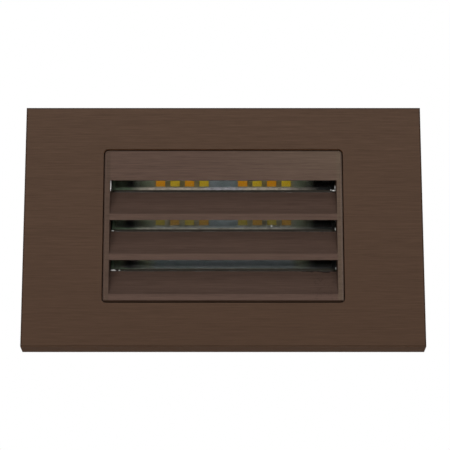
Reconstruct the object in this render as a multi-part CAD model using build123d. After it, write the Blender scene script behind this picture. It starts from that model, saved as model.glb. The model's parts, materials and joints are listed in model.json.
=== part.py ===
from build123d import *
from math import radians, tan
import os

os.makedirs("parts", exist_ok=True)

# Recessed louvred step light for a single-gang wall box.
# Millimetres. X runs to the right seen from the room, +Y goes into the wall, +Z is up.
# The origin lies on the wall plane, midway between the two box screw slots.

# ---- trim faceplate ----
PLATE_W = 117.5
PLATE_H = 73.0
PLATE_PROUD = 7.6
PLATE_FACE = 2.2
PLATE_EDGE_BREAK = 0.3
RIM_WALL = 2.0
GASKET_STEP = 1.2
REVEAL = 0.35
WINDOW_LIP_WALL = 1.3
WINDOW_LIP_RISE = 1.2
BACK_RIB_T = 1.2
BACK_RIB_RISE = 1.5
BACK_RIB_Z = 9.0

# ---- louvred front casting ----
GRILLE_W = 70.25
GRILLE_H = 46.35
GRILLE_SETBACK = 0.2
GRILLE_CORNER_R = 1.0
GRILLE_EDGE = 0.45
GRILLE_WALL = 1.6
GRILLE_FACE_T = 1.8
LOUVRE_COUNT = 3
TOP_RAIL = 9.38
BOTTOM_RAIL = 2.28
LIP = 1.95
SIDE_RAIL = 1.62
SLAT_DEPTH = 8.0
SLAT_RISE = 9.6
SLAT_BACK_R = 0.4
LEDGE_T = 1.5
LEDGE_LAP = 0.7
BOTTOM_RAIL_DEEP = 7.7
BOSS_FLOOR = 1.2
EAR_T = 2.2
EAR_H = 8.0
EAR_REACH = 6.6
FLANGE_REACH = 1.5
EAR_CORNER_R = 1.5
EAR_Z = 16.0
EAR_SCREW_OUT = 3.6

# ---- lens and seals ----
BEAD_T = 0.6
BEAD_W = 1.0
BEAD_PROUD = 0.45
LENS_T = 2.5
LENS_GAP = 0.2
LENS_EDGE = 0.2
GRILLE_BEHIND_LENS = 0.2
SEAL_T = 0.8
SEAL_W = 1.4
EYELET_INSET = 0.2
WALL_GASKET_W = 3.0
WALL_GASKET_T = 2.0
FOAM_GAP = 0.1

# ---- wall bracket ----
GANG_PITCH = 83.3
BOX_SLOT_W = 4.0
BOX_SLOT_L = 8.0
YOKE_SIDE_GAP = 1.75
YOKE_TOP_GAP = 0.9
YOKE_T = 1.5
YOKE_CORNER_R = 5.0
YOKE_GAP = 0.375
YOKE_RETURN_L = 80.0
YOKE_RETURN_H = 4.6
YOKE_BEND_R = 0.45
YOKE_BEND_FLAT = 0.05
YOKE_RELIEF = 1.0

# ---- light board ----
BOARD_SETBACK = 13.0
BOARD_SIDE_GAP = 3.1
BOARD_TOP_GAP = 1.375
BOARD_T = 1.6
BOARD_CORNER_R = 1.0
PAD_T = 0.5
PAD_EDGE = 0.4
LED_SIZE = 3.0
LED_T = 0.7
LED_LENS_INSET = 0.3
LED_LENS_DEPTH = 0.1
LED_PITCH = 4.37
LED_FIRST = 5.8
LED_PER_SIDE = 4
LED_ROW_INSET = 3.2
LED_ROW_PITCH = 12.1
BOARD_SCREW_INSET = 3.2
BOARD_SCREW_RISE = 4.5

# ---- housing ----
HOUSING_WALL = 1.8
HOUSING_DEEP_WALL = 3.0
HOUSING_BACK = 31.0
HOUSING_DRAFT = 1.0
HOUSING_CORNER_R = 2.5
HOUSING_INNER_R = 1.25
WEB_T = 2.5
COLUMN_R = 2.6
GROOVE_W = 2.2
GROOVE_DEPTH = 1.0
GROOVE_PITCH = 4.4
GROOVE_END = 6.5
GROOVE_START = 4.0
POST_R = 2.2
POST_H = 4.0
POST_INSET_X = 5.5
POST_INSET_Z = 3.8

# ---- driver ----
FILM_T = 0.3
DRIVER_SIDE_GAP = 1.8
DRIVER_TOP_GAP = 0.3
DRIVER_T = 1.6
TRANSFORMER = (14.0, 12.0, 13.0)
TRANSFORMER_AT = (-1.0, 9.0)
BOBBIN_FLANGE_T = 1.0
CORE_MARGIN = 1.6
BULK_CAP_R = 4.0
BULK_CAP_H = 12.5
BULK_CAP_IN = 6.0
BULK_CAP_Z = -4.5
OUTPUT_CAP_R = 3.15
OUTPUT_CAP_H = 11.0
OUTPUT_CAP_X = 10.0
OUTPUT_CAP_RISE = 5.3
CAP_BEVEL = 0.5
CAP_RIM = 1.0
CAP_VENT_DEEP = 0.3
FUSE = (6.0, 3.2, 3.6)
FUSE_X = -8.0
FUSE_RISE = 3.8
VARISTOR_R = 3.5
VARISTOR_T = 3.4
VARISTOR_BEVEL = 1.0
VARISTOR_IN = 10.7
VARISTOR_Z = 13.0
RECTIFIER_CHIP = (5.0, 4.0, 1.5)
RECTIFIER_AT = (9.0, 9.5)
CONTROL_CHIP = (4.0, 4.0, 1.2)
CONTROL_AT = (0.5, -5.0)
SWITCHING_CHIP = (6.2, 6.6, 1.6)
SWITCHING_CHIP_IN = 6.5
SWITCHING_CHIP_Z = 7.0
CHIP_BEVEL = 0.3

# ---- link between the boards ----
LINK_RISE = 5.3
LINK_PITCH = 2.54
LINK_PINS = 3
LINK_PIN_R = 0.35
LINK_HOLE_R = 0.5
LINK_BLOCK_W = 8.2
LINK_BLOCK_H = 2.5
LINK_BLOCK_L = 2.5
LINK_PROUD = 0.6
LINK_SLOT_GAP = 1.2

# ---- rear cover ----
COVER_T = 2.4
COVER_RIB_T = 1.4
COVER_RIB_RISE = 2.2
COVER_RIB_GAP = 1.8
COVER_RIBS = 5
COVER_RIB_END = 6.2
COVER_SEAL_W = 1.6
EARTH_DROP = 18.0
EARTH_BOSS_R = 3.4
EARTH_BOSS_H = 2.4

# ---- cable inlet grommet ----
INLET_BORE_R = 3.0
INLET_NECK_R = 4.4
INLET_FLANGE_R = 6.2
INLET_FLANGE_T = 1.4
INLET_GAP = 0.1
INLET_BEVEL = 0.45

# ---- colour-temperature switch ----
SWITCH_SIDE_GAP = 1.375
SWITCH_Z = 7.0
SWITCH_L = 13.0
SWITCH_H = 6.6
SWITCH_DEEP = 5.4
SWITCH_WALL = 0.6
SWITCH_EAR_L = 21.5
SWITCH_EAR_T = 0.8
SWITCH_SCREW_PITCH = 17.6
SWITCH_TRAVEL = 2.0
SWITCH_WINDOW_GAP = 0.4
STEM_L = 3.0
STEM_H = 2.6
STEM_PROUD = 0.7
STEM_BEVEL = 0.3
SLIDER_BASE_L = 5.4
SLIDER_BASE_T = 1.6
SLIDE_GAP = 0.2

# ---- faceplate springs ----
SPRING_T = 0.4
SPRING_W = 2.8
SPRING_REACH = 17.2
SPRING_TAIL = 1.6
SPRING_GAP = 0.3
SPRING_FLOAT = 0.4
KEEPER_W = 2.4
KEEPER_H = 2.1
KEEPER_SLOT = 0.6

# ---- screws: thread radius, head radius, head height ----
CASE_SCREW = (1.25, 2.2, 1.7)
CASE_SCREW_L = 35.0
CASE_SCREW_INSET_X = 4.225
CASE_SCREW_INSET_Z = 2.975
SMALL_SCREW = (1.25, 2.1, 1.2)
SMALL_SCREW_L = 4.2
FLAT_SCREW = (1.25, 2.3, 1.05)
FLAT_SCREW_L = 3.6
TINY_SCREW = (0.8, 1.5, 0.9)
TINY_SCREW_L = 3.0
EARTH_SCREW = (1.9, 3.4, 2.4)
EARTH_SCREW_L = 4.4
WASHER_T = 0.3
SCREW_TIP_GAP = 0.2
THREAD_GAP = 0.05
SCREW_GAP = 0.25
HEAD_BEVEL_SHARE = 0.35

# ---- depths, all measured from the wall plane ----
PLATE_FRONT = -PLATE_PROUD
PLATE_INNER = PLATE_FRONT + PLATE_FACE
GRILLE_FRONT = PLATE_FRONT + GRILLE_SETBACK
SLAT_BACK = GRILLE_FRONT + SLAT_DEPTH
LENS_FRONT = SLAT_BACK + BEAD_T
LENS_BACK = LENS_FRONT + LENS_T
GRILLE_BACK = LENS_BACK + GRILLE_BEHIND_LENS
HOUSING_FRONT = GRILLE_BACK + SEAL_T
BOARD_FRONT = PLATE_FRONT + BOARD_SETBACK
BOARD_BACK = BOARD_FRONT + BOARD_T
WEB_FRONT = BOARD_BACK + PAD_T
WEB_BACK = WEB_FRONT + WEB_T
FILM_BACK = WEB_BACK + FILM_T
DRIVER_FRONT = WEB_BACK + POST_H
DRIVER_BACK = DRIVER_FRONT + DRIVER_T
COVER_FRONT = HOUSING_BACK + SEAL_T
COVER_BACK = COVER_FRONT + COVER_T
YOKE_FRONT = -YOKE_T
EAR_FRONT = YOKE_FRONT - EAR_T

# ---- widths and heights that follow from the sizes above ----
WINDOW_W = GRILLE_W + 2 * REVEAL
WINDOW_H = GRILLE_H + 2 * REVEAL
LOUVRE_W = GRILLE_W - 2 * SIDE_RAIL
SLATS_H = GRILLE_H - TOP_RAIL - BOTTOM_RAIL
LOUVRE_PITCH = (SLATS_H + LIP) / LOUVRE_COUNT
SLAT_SLOPE = SLAT_RISE / SLAT_DEPTH
RAIL_UNDERSIDE = GRILLE_H / 2 - TOP_RAIL
RIM_INNER_W = PLATE_W - 2 * RIM_WALL
RIM_INNER_H = PLATE_H - 2 * RIM_WALL
STEP_INNER_H = RIM_INNER_H - 2 * GASKET_STEP
YOKE_W = RIM_INNER_W - 2 * (WALL_GASKET_W + YOKE_SIDE_GAP)
YOKE_H = RIM_INNER_H - 2 * (WALL_GASKET_W + YOKE_TOP_GAP)
CASE_SCREW_X = GRILLE_W / 2 - CASE_SCREW_INSET_X
CASE_SCREW_Z = GRILLE_H / 2 - CASE_SCREW_INSET_Z
CASE_SCREW_TIP = COVER_BACK - CASE_SCREW_L
LENS_W = LOUVRE_W - 2 * LENS_GAP
LENS_H = 2 * (CASE_SCREW_Z - COLUMN_R - LENS_GAP)
BOARD_W = 2 * (CASE_SCREW_X - COLUMN_R - BOARD_SIDE_GAP)
BOARD_H = GRILLE_H - 2 * (HOUSING_WALL + BOARD_TOP_GAP)
LED_ROW_TOP = BOARD_H / 2 - LED_ROW_INSET
BOARD_SCREW_X = BOARD_W / 2 - BOARD_SCREW_INSET
BOARD_SCREW_TOP = LED_ROW_TOP - LED_ROW_PITCH / 2
BOARD_SCREW_LOW = BOARD_SCREW_RISE - BOARD_H / 2
GROOVES = int((GRILLE_W - 2 * GROOVE_END) / GROOVE_PITCH)
HOUSING_SHRINK = 2 * (HOUSING_BACK - HOUSING_FRONT) * tan(radians(HOUSING_DRAFT))
COVER_W = GRILLE_W - HOUSING_SHRINK
COVER_H = GRILLE_H - HOUSING_SHRINK
DRIVER_W = 2 * (CASE_SCREW_X - COLUMN_R - DRIVER_SIDE_GAP)
DRIVER_H = 2 * (CASE_SCREW_Z - COLUMN_R - DRIVER_TOP_GAP)
LINK_Z = LINK_RISE - DRIVER_H / 2
SWITCH_X = GRILLE_W / 2 - HOUSING_DEEP_WALL - SWITCH_SIDE_GAP - SWITCH_EAR_L / 2
COVER_RIB_L = COVER_H - 2 * COVER_RIB_END
COVER_RIBS_W = 2 * (SWITCH_X - SWITCH_SCREW_PITCH / 2 - TINY_SCREW[1] - COVER_RIB_GAP)
COVER_RIB_PITCH = (COVER_RIBS_W - COVER_RIB_T) / (COVER_RIBS - 1)

# ---- places, as (X, Z) ----
SWITCH_AT = (SWITCH_X, SWITCH_Z)
EARTH_AT = (SWITCH_X, SWITCH_Z - EARTH_DROP)
INLET_AT = (-SWITCH_X, 0)
BULK_CAP_AT = (DRIVER_W / 2 - BULK_CAP_IN, BULK_CAP_Z)
OUTPUT_CAP_AT = (OUTPUT_CAP_X, OUTPUT_CAP_RISE - DRIVER_H / 2)
FUSE_AT = (FUSE_X, FUSE_RISE - DRIVER_H / 2)
VARISTOR_AT = (VARISTOR_IN - DRIVER_W / 2, VARISTOR_Z)
SWITCHING_CHIP_AT = (DRIVER_W / 2 - SWITCHING_CHIP_IN, SWITCHING_CHIP_Z)


def corners(x, z):
    """The four places that lie at the same distance from the light's middle."""
    return [(side_x * x, side_z * z) for side_x in (-1, 1) for side_z in (-1, 1)]


CASE_SCREWS_AT = corners(CASE_SCREW_X, CASE_SCREW_Z)
YOKE_SCREWS_AT = corners(GRILLE_W / 2 + EAR_SCREW_OUT, EAR_Z)
POSTS_AT = corners(DRIVER_W / 2 - POST_INSET_X, DRIVER_H / 2 - POST_INSET_Z)
BOARD_SCREWS_AT = [
    (x, z) for x in (-BOARD_SCREW_X, BOARD_SCREW_X) for z in (BOARD_SCREW_LOW, BOARD_SCREW_TOP)
]
LINK_PINS_AT = [((i - (LINK_PINS - 1) / 2) * LINK_PITCH, LINK_Z) for i in range(LINK_PINS)]
SWITCH_SCREWS_AT = [(SWITCH_X + side * SWITCH_SCREW_PITCH / 2, SWITCH_Z) for side in (-1, 1)]


# ---- shaping helpers ----
def sweep_y(outline, front, back):
    """Carry a flat outline, drawn in X and Z, from the front depth to the back depth."""
    return extrude(Plane.XZ.offset(-back) * outline, back - front, dir=(0, -1, 0))


def block(width, height, front, back, at=(0, 0), corner=0):
    """An upright block with rounded corners, seen from the room."""
    outline = RectangleRounded(width, height, corner) if corner else Rectangle(width, height)
    return sweep_y(Pos(*at) * outline, front, back)


def rod(radius, front, back, at):
    return sweep_y(Pos(*at) * Circle(radius), front, back)


def rods(radius, front, back, places):
    return [rod(radius, front, back, at) for at in places]


def ring(width, height, wall, front, back, corner=0):
    """A rectangular frame whose wall is measured inwards from its outline."""
    inner_corner = max(corner - wall, 0)
    hole = block(width - 2 * wall, height - 2 * wall, front, back, corner=inner_corner)
    return block(width, height, front, back, corner=corner) - hole


def pan_screw(size, length, seat, at, towards_wall=True):
    """A pan-head screw whose head bears on the seat depth, its rim broken by a chamfer."""
    thread_r, head_r, head_t = size
    way = 1 if towards_wall else -1
    shank = rod(thread_r, min(seat, seat + way * length), max(seat, seat + way * length), at)
    head = rod(head_r, min(seat, seat - way * head_t), max(seat, seat - way * head_t), at)
    rim = head.faces().sort_by(Axis.Y)[0 if towards_wall else -1].edges()
    return shank + chamfer(rim, head_t * HEAD_BEVEL_SHARE)


# ---- pieces ----
def make_faceplate():
    """Hollow die-cast trim plate with a window for the louvred casting."""
    shell = block(PLATE_W, PLATE_H, PLATE_FRONT, 0)
    front_face = shell.faces().sort_by(Axis.Y)[0]
    shell = chamfer(front_face.edges(), PLATE_EDGE_BREAK)
    step_depth = -WALL_GASKET_T
    shell -= block(RIM_INNER_W - 2 * GASKET_STEP, STEP_INNER_H, PLATE_INNER, 0)
    shell -= block(RIM_INNER_W, RIM_INNER_H, step_depth, 0)
    lip_w = WINDOW_W + 2 * WINDOW_LIP_WALL
    lip_h = WINDOW_H + 2 * WINDOW_LIP_WALL
    shell += block(lip_w, lip_h, PLATE_INNER, PLATE_INNER + WINDOW_LIP_RISE, corner=GRILLE_CORNER_R)
    rib_outer = RIM_INNER_W / 2 - GASKET_STEP
    rib_inner = WINDOW_W / 2 + WINDOW_LIP_WALL
    for side in (-1, 1):
        for z in (-BACK_RIB_Z, BACK_RIB_Z):
            middle = side * (rib_outer + rib_inner) / 2
            shell += block(
                rib_outer - rib_inner, BACK_RIB_T, PLATE_INNER, PLATE_INNER + BACK_RIB_RISE, (middle, z)
            )
    for side_x in (-1, 1):
        for side_z in (-1, 1):
            shell += make_keeper(side_x, side_z)
    window_r = GRILLE_CORNER_R + REVEAL
    return shell - block(WINDOW_W, WINDOW_H, PLATE_FRONT, 0, corner=window_r)


def spring_line_z():
    """Height of a spring's straight tails above the plate's middle."""
    return STEP_INNER_H / 2 - SPRING_FLOAT - KEEPER_SLOT / 2


def make_keeper(side_x, side_z):
    """Cast post with a slot that holds one tail of a faceplate spring."""
    post_x = SPRING_REACH + SPRING_TAIL
    back = PLATE_INNER + SPRING_W + SPRING_FLOAT
    post_z = STEP_INNER_H / 2 - KEEPER_H / 2
    post = block(KEEPER_W, KEEPER_H, PLATE_INNER, back, (side_x * post_x, side_z * post_z))
    slot_x = side_x * (post_x - KEEPER_W / 2)
    slot = block(KEEPER_W, KEEPER_SLOT, PLATE_INNER, back, (slot_x, side_z * spring_line_z()))
    return post - slot


def make_faceplate_springs():
    """Two bowed leaf springs that grip the returned edges of the bracket."""
    tail_z = spring_line_z()
    crown_z = YOKE_H / 2 + SPRING_GAP + SPRING_T / 2
    end = SPRING_REACH + SPRING_TAIL - SPRING_GAP
    springs = []
    for side in (-1, 1):
        left = Line((-end, side * tail_z), (-SPRING_REACH, side * tail_z))
        bow = ThreePointArc(
            (-SPRING_REACH, side * tail_z), (0, side * crown_z), (SPRING_REACH, side * tail_z)
        )
        right = Line((SPRING_REACH, side * tail_z), (end, side * tail_z))
        strip = trace([left, bow, right], SPRING_T)
        springs.append(sweep_y(strip, PLATE_INNER, PLATE_INNER + SPRING_W))
    return springs


def make_wall_gasket():
    """Foam strip inside the plate's rim, flush with the wall."""
    width, height = RIM_INNER_W - 2 * FOAM_GAP, RIM_INNER_H - 2 * FOAM_GAP
    return ring(width, height, WALL_GASKET_W, -WALL_GASKET_T, 0)


def lip_bottom(index):
    """Height of the lower edge of a slat's front lip, the top slat being number 0."""
    return RAIL_UNDERSIDE - (index + 1) * LOUVRE_PITCH


def slat_profile(index):
    """Cross-section of one slat: an upright front lip, then a leaf that climbs towards the lamp."""
    low = lip_bottom(index)
    leaf = Polygon(
        (GRILLE_FRONT, low),
        (GRILLE_FRONT, low + LIP),
        (SLAT_BACK, low + LIP + SLAT_RISE),
        (SLAT_BACK, low + SLAT_RISE),
        align=None,
    )
    return fillet(leaf.vertices().group_by(Axis.X)[-1], SLAT_BACK_R)


def span_x(profile, width):
    """Carry a cross-section, drawn in depth and height, across the light."""
    return extrude(Plane.YZ.offset(-width / 2) * profile, width, dir=(1, 0, 0))


def make_louver_grille():
    """Front casting: frame, climbing slats, lens ledges, screw bosses, bracket flange and ears."""
    body = block(GRILLE_W, GRILLE_H, GRILLE_FRONT, GRILLE_BACK, corner=GRILLE_CORNER_R)
    body = chamfer(body.faces().sort_by(Axis.Y)[0].edges(), GRILLE_EDGE)
    well_h = GRILLE_H - 2 * GRILLE_WALL
    body -= block(LOUVRE_W, well_h, GRILLE_FRONT + GRILLE_FACE_T, GRILLE_BACK)
    opening_z = (BOTTOM_RAIL - TOP_RAIL) / 2
    body -= block(LOUVRE_W, SLATS_H, GRILLE_FRONT, GRILLE_BACK, (0, opening_z))
    for index in range(LOUVRE_COUNT):
        body += span_x(slat_profile(index), LOUVRE_W)
    rail_front, rail_back = GRILLE_FRONT + GRILLE_EDGE, GRILLE_FRONT + BOTTOM_RAIL_DEEP
    rail_at = (0, (BOTTOM_RAIL - GRILLE_H) / 2)
    body += block(LOUVRE_W, BOTTOM_RAIL, rail_front, rail_back, rail_at)
    rail_wedge = Polygon(
        (GRILLE_FRONT, RAIL_UNDERSIDE),
        (GRILLE_FRONT + GRILLE_FACE_T, RAIL_UNDERSIDE),
        (GRILLE_FRONT + GRILLE_FACE_T, RAIL_UNDERSIDE + GRILLE_FACE_T * SLAT_SLOPE),
        align=None,
    )
    body -= span_x(rail_wedge, LOUVRE_W)
    for side in (-1, 1):
        ledge_z = side * (LENS_H / 2 + LEDGE_T / 2 - LEDGE_LAP)
        ledge_front = GRILLE_FRONT + GRILLE_FACE_T if side > 0 else SLAT_BACK - LEDGE_T
        body += block(LOUVRE_W, LEDGE_T, ledge_front, SLAT_BACK, (0, ledge_z))
    flange_w, flange_h = GRILLE_W + 2 * FLANGE_REACH, GRILLE_H + 2 * FLANGE_REACH
    flange_r = GRILLE_CORNER_R + FLANGE_REACH
    body += ring(flange_w, flange_h, FLANGE_REACH + GRILLE_WALL, EAR_FRONT, YOKE_FRONT, flange_r)
    for at in corners(GRILLE_W / 2 + (EAR_REACH - GRILLE_WALL) / 2, EAR_Z):
        body += block(EAR_REACH + GRILLE_WALL, EAR_H, EAR_FRONT, YOKE_FRONT, at, EAR_CORNER_R)
    for x, z in CASE_SCREWS_AT:
        hole_front = CASE_SCREW_TIP - SCREW_GAP
        boss_front = GRILLE_FRONT + GRILLE_FACE_T if z > 0 else hole_front - BOSS_FLOOR
        body += rod(COLUMN_R, boss_front, GRILLE_BACK, (x, z))
        body -= rod(CASE_SCREW[0] + THREAD_GAP, hole_front, GRILLE_BACK, (x, z))
    for at in YOKE_SCREWS_AT:
        body -= countersunk_hole(at)
    return body


def countersunk_hole(at):
    """Clearance hole with a cone for a flat-head screw in one of the casting's ears."""
    thread_r, head_r, head_t = FLAT_SCREW
    hole = rod(thread_r + SCREW_GAP, EAR_FRONT, YOKE_FRONT, at)
    return hole + head_cone(thread_r + SCREW_GAP, head_r + SCREW_GAP, head_t, at)


def head_cone(small_r, big_r, depth, at):
    """Cone that opens towards the room from an ear's front face."""
    profile = Polygon(
        (0, EAR_FRONT), (big_r, EAR_FRONT), (small_r, EAR_FRONT + depth),
        (0, EAR_FRONT + depth), align=None,
    )
    return Pos(at[0], 0, at[1]) * revolve(profile, Axis.Y)


def make_yoke_screws():
    """Flat-head screws that hold the bracket against the casting's ears."""
    thread_r, head_r, head_t = FLAT_SCREW
    screws = []
    for at in YOKE_SCREWS_AT:
        shank = rod(thread_r, EAR_FRONT, EAR_FRONT + FLAT_SCREW_L, at)
        screws.append(shank + head_cone(thread_r, head_r, head_t, at))
    return screws


def return_foot():
    """How far a returned edge's bend reaches into the bracket's flat."""
    return YOKE_T + YOKE_BEND_R + YOKE_BEND_FLAT


def return_profile(side):
    """Cross-section of a returned edge: a bend, then a leg that stands towards the room."""
    outer, inner = side * YOKE_H / 2, side * (YOKE_H / 2 - YOKE_T)
    foot = side * (YOKE_H / 2 - return_foot())
    profile = Polygon(
        (0, foot), (0, outer), (-YOKE_RETURN_H, outer), (-YOKE_RETURN_H, inner),
        (YOKE_FRONT, inner), (YOKE_FRONT, foot), align=None,
    )
    outer_corner = profile.vertices().sort_by_distance((0, outer, 0))[0]
    profile = fillet(outer_corner, YOKE_T + YOKE_BEND_R)
    inner_corner = profile.vertices().sort_by_distance((YOKE_FRONT, inner, 0))[0]
    return fillet(inner_corner, YOKE_BEND_R)


def make_mounting_yoke():
    """Stamped bracket: window for the light, slots for the box screws, returned long edges."""
    plate = block(YOKE_W, YOKE_H, YOKE_FRONT, 0, corner=YOKE_CORNER_R)
    relief = YOKE_RETURN_L + 2 * YOKE_RELIEF
    for side in (-1, 1):
        plate -= block(relief, 2 * return_foot(), YOKE_FRONT, 0, (0, side * YOKE_H / 2))
        plate += span_x(return_profile(side), YOKE_RETURN_L)
    window_r = GRILLE_CORNER_R + YOKE_GAP
    plate -= block(GRILLE_W + 2 * YOKE_GAP, GRILLE_H + 2 * YOKE_GAP, YOKE_FRONT, 0, corner=window_r)
    for side in (-1, 1):
        slot = SlotOverall(BOX_SLOT_L, BOX_SLOT_W)
        plate -= sweep_y(Pos(side * GANG_PITCH / 2, 0) * slot, YOKE_FRONT, 0)
    for at in YOKE_SCREWS_AT:
        plate -= rod(FLAT_SCREW[0] + THREAD_GAP, YOKE_FRONT, 0, at)
    return plate


def make_lens_seal():
    """Clear silicone bead round the lens and along the back of every slat."""
    bead = ring(LENS_W, LENS_H, BEAD_W, SLAT_BACK, LENS_FRONT)
    for index in range(LOUVRE_COUNT):
        top = lip_bottom(index) + LIP + SLAT_RISE + BEAD_PROUD - SLAT_BACK_R
        bead += block(LENS_W, BEAD_W, SLAT_BACK, LENS_FRONT, (0, top - BEAD_W / 2))
    return bead


def make_lens():
    glass = block(LENS_W, LENS_H, LENS_FRONT, LENS_BACK)
    return chamfer(glass.faces().sort_by(Axis.Y)[-1].edges(), LENS_EDGE)


def eyelet_seal(width, height, wall, corner, front):
    """Flat gasket: a frame with an eyelet round each case screw."""
    seal = ring(width, height, wall, front, front + SEAL_T, corner)
    for x, z in CASE_SCREWS_AT:
        seal += rod(COLUMN_R - EYELET_INSET, front, front + SEAL_T, (x, z))
    keep = block(width, height, front, front + SEAL_T, corner=corner)
    seal = seal & keep
    for at in CASE_SCREWS_AT:
        seal -= rod(CASE_SCREW[0] + SCREW_GAP, front, front + SEAL_T, at)
    return seal


def make_led_board():
    """Metal-core board with its screw holes and the link pins' holes."""
    board = block(BOARD_W, BOARD_H, BOARD_FRONT, BOARD_BACK, corner=BOARD_CORNER_R)
    for at in BOARD_SCREWS_AT:
        board -= rod(SMALL_SCREW[0] + SCREW_GAP, BOARD_FRONT, BOARD_BACK, at)
    for at in LINK_PINS_AT:
        board -= rod(LINK_HOLE_R, BOARD_FRONT, BOARD_BACK, at)
    return board


def led_places():
    """Column, row and place of every lamp, counted from the top left."""
    offsets = [LED_FIRST + i * LED_PITCH for i in range(LED_PER_SIDE)]
    columns = sorted([-x for x in offsets] + offsets)
    for row in range(2):
        for column, x in enumerate(columns):
            yield column, row, (x, LED_ROW_TOP - row * LED_ROW_PITCH)


def make_leds(warm):
    """One colour of the two that alternate like a chequerboard on the board."""
    front = BOARD_FRONT - LED_T
    lamps = []
    for column, row, at in led_places():
        if ((column + row) % 2 == 0) == warm:
            package = block(LED_SIZE, LED_SIZE, front, BOARD_FRONT, at)
            well = LED_SIZE - 2 * LED_LENS_INSET
            package -= block(well, well, front, front + LED_LENS_DEPTH, at)
            lamps.append(package)
    return lamps


def make_led_board_screws():
    return [pan_screw(SMALL_SCREW, SMALL_SCREW_L, BOARD_FRONT, at) for at in BOARD_SCREWS_AT]


def link_slot_size():
    return (LINK_BLOCK_W + LINK_SLOT_GAP, LINK_BLOCK_H + LINK_SLOT_GAP)


def make_thermal_pad():
    """Soft heat-conducting sheet between the light board and the housing's web."""
    pad = block(BOARD_W - 2 * PAD_EDGE, BOARD_H - 2 * PAD_EDGE, BOARD_BACK, WEB_FRONT)
    for at in BOARD_SCREWS_AT:
        pad -= rod(SMALL_SCREW[1], BOARD_BACK, WEB_FRONT, at)
    return pad - block(*link_slot_size(), BOARD_BACK, WEB_FRONT, (0, LINK_Z))


def make_housing():
    """Die-cast back box: drafted and grooved outside, a web between the lamp and driver sides."""
    outline = Plane.XZ.offset(-HOUSING_FRONT) * RectangleRounded(GRILLE_W, GRILLE_H, HOUSING_CORNER_R)
    body = extrude(outline, HOUSING_FRONT - HOUSING_BACK, taper=HOUSING_DRAFT)
    for side in (-1, 1):
        for index in range(GROOVES):
            x = (index - (GROOVES - 1) / 2) * GROOVE_PITCH
            body -= groove(x, side)
    front_w = GRILLE_W - 2 * HOUSING_WALL
    front_h = GRILLE_H - 2 * HOUSING_WALL
    body -= block(front_w, front_h, HOUSING_FRONT, WEB_FRONT, corner=HOUSING_INNER_R)
    rear_w = GRILLE_W - 2 * HOUSING_DEEP_WALL
    rear_h = GRILLE_H - 2 * HOUSING_DEEP_WALL
    body -= block(rear_w, rear_h, WEB_BACK, HOUSING_BACK, corner=HOUSING_INNER_R)
    keep = block(COVER_W, COVER_H, HOUSING_FRONT, HOUSING_BACK, corner=HOUSING_CORNER_R)
    for at in CASE_SCREWS_AT:
        body += rod(COLUMN_R, HOUSING_FRONT, HOUSING_BACK, at) & keep
    for at in POSTS_AT:
        body += rod(POST_R, WEB_BACK, DRIVER_FRONT, at)
    for at in CASE_SCREWS_AT:
        body -= rod(CASE_SCREW[0] + SCREW_GAP, HOUSING_FRONT, HOUSING_BACK, at)
    for at in BOARD_SCREWS_AT:
        body -= rod(SMALL_SCREW[0] + THREAD_GAP, WEB_FRONT, WEB_BACK, at)
    for at in POSTS_AT:
        body -= rod(TINY_SCREW[0] + THREAD_GAP, DRIVER_FRONT - TINY_SCREW_L, DRIVER_FRONT, at)
    return body - block(*link_slot_size(), WEB_FRONT, WEB_BACK, (0, LINK_Z))


def groove(x, side):
    """Cooling groove along the housing's top or bottom, from behind the front rim to the back."""
    height = HOUSING_SHRINK / 2 + GROOVE_DEPTH
    middle = side * (GRILLE_H - HOUSING_SHRINK) / 2 - side * GROOVE_DEPTH + side * height / 2
    return block(GROOVE_W, height, HOUSING_FRONT + GROOVE_START, HOUSING_BACK, (x, middle))


def make_driver_insulator():
    """Thin film that keeps the driver's solder side off the metal web."""
    film = block(DRIVER_W, DRIVER_H, WEB_BACK, FILM_BACK)
    for at in POSTS_AT:
        film -= rod(POST_R + SCREW_GAP, WEB_BACK, FILM_BACK, at)
    for at in BOARD_SCREWS_AT:
        film -= rod(SMALL_SCREW[0] + SCREW_GAP, WEB_BACK, FILM_BACK, at)
    return film - block(*link_slot_size(), WEB_BACK, FILM_BACK, (0, LINK_Z))


def make_driver_board():
    board = block(DRIVER_W, DRIVER_H, DRIVER_FRONT, DRIVER_BACK, corner=BOARD_CORNER_R)
    for at in POSTS_AT:
        board -= rod(TINY_SCREW[0] + SCREW_GAP, DRIVER_FRONT, DRIVER_BACK, at)
    for at in LINK_PINS_AT:
        board -= rod(LINK_HOLE_R, DRIVER_FRONT, DRIVER_BACK, at)
    return board


def make_driver_board_screws():
    return [
        pan_screw(TINY_SCREW, DRIVER_T + TINY_SCREW_L - SCREW_TIP_GAP, DRIVER_BACK, at, False)
        for at in POSTS_AT
    ]


def make_driver_transformer():
    """Ferrite core round a bobbin, standing on the driver board."""
    width, height, rise = TRANSFORMER
    top = DRIVER_BACK + rise
    bobbin = block(width, height, DRIVER_BACK, DRIVER_BACK + BOBBIN_FLANGE_T, TRANSFORMER_AT)
    bobbin += block(width, height, top - BOBBIN_FLANGE_T, top, TRANSFORMER_AT)
    bobbin += block(width - 2 * CORE_MARGIN, height - 2 * CORE_MARGIN, DRIVER_BACK, top, TRANSFORMER_AT)
    core = block(width - 2 * CORE_MARGIN, height + 2 * CORE_MARGIN, DRIVER_BACK, top, TRANSFORMER_AT)
    core -= block(width, height, DRIVER_BACK, top, TRANSFORMER_AT)
    core += block(
        width - 2 * CORE_MARGIN, height + 2 * CORE_MARGIN, top, top + BOBBIN_FLANGE_T, TRANSFORMER_AT
    )
    return bobbin + core


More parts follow.
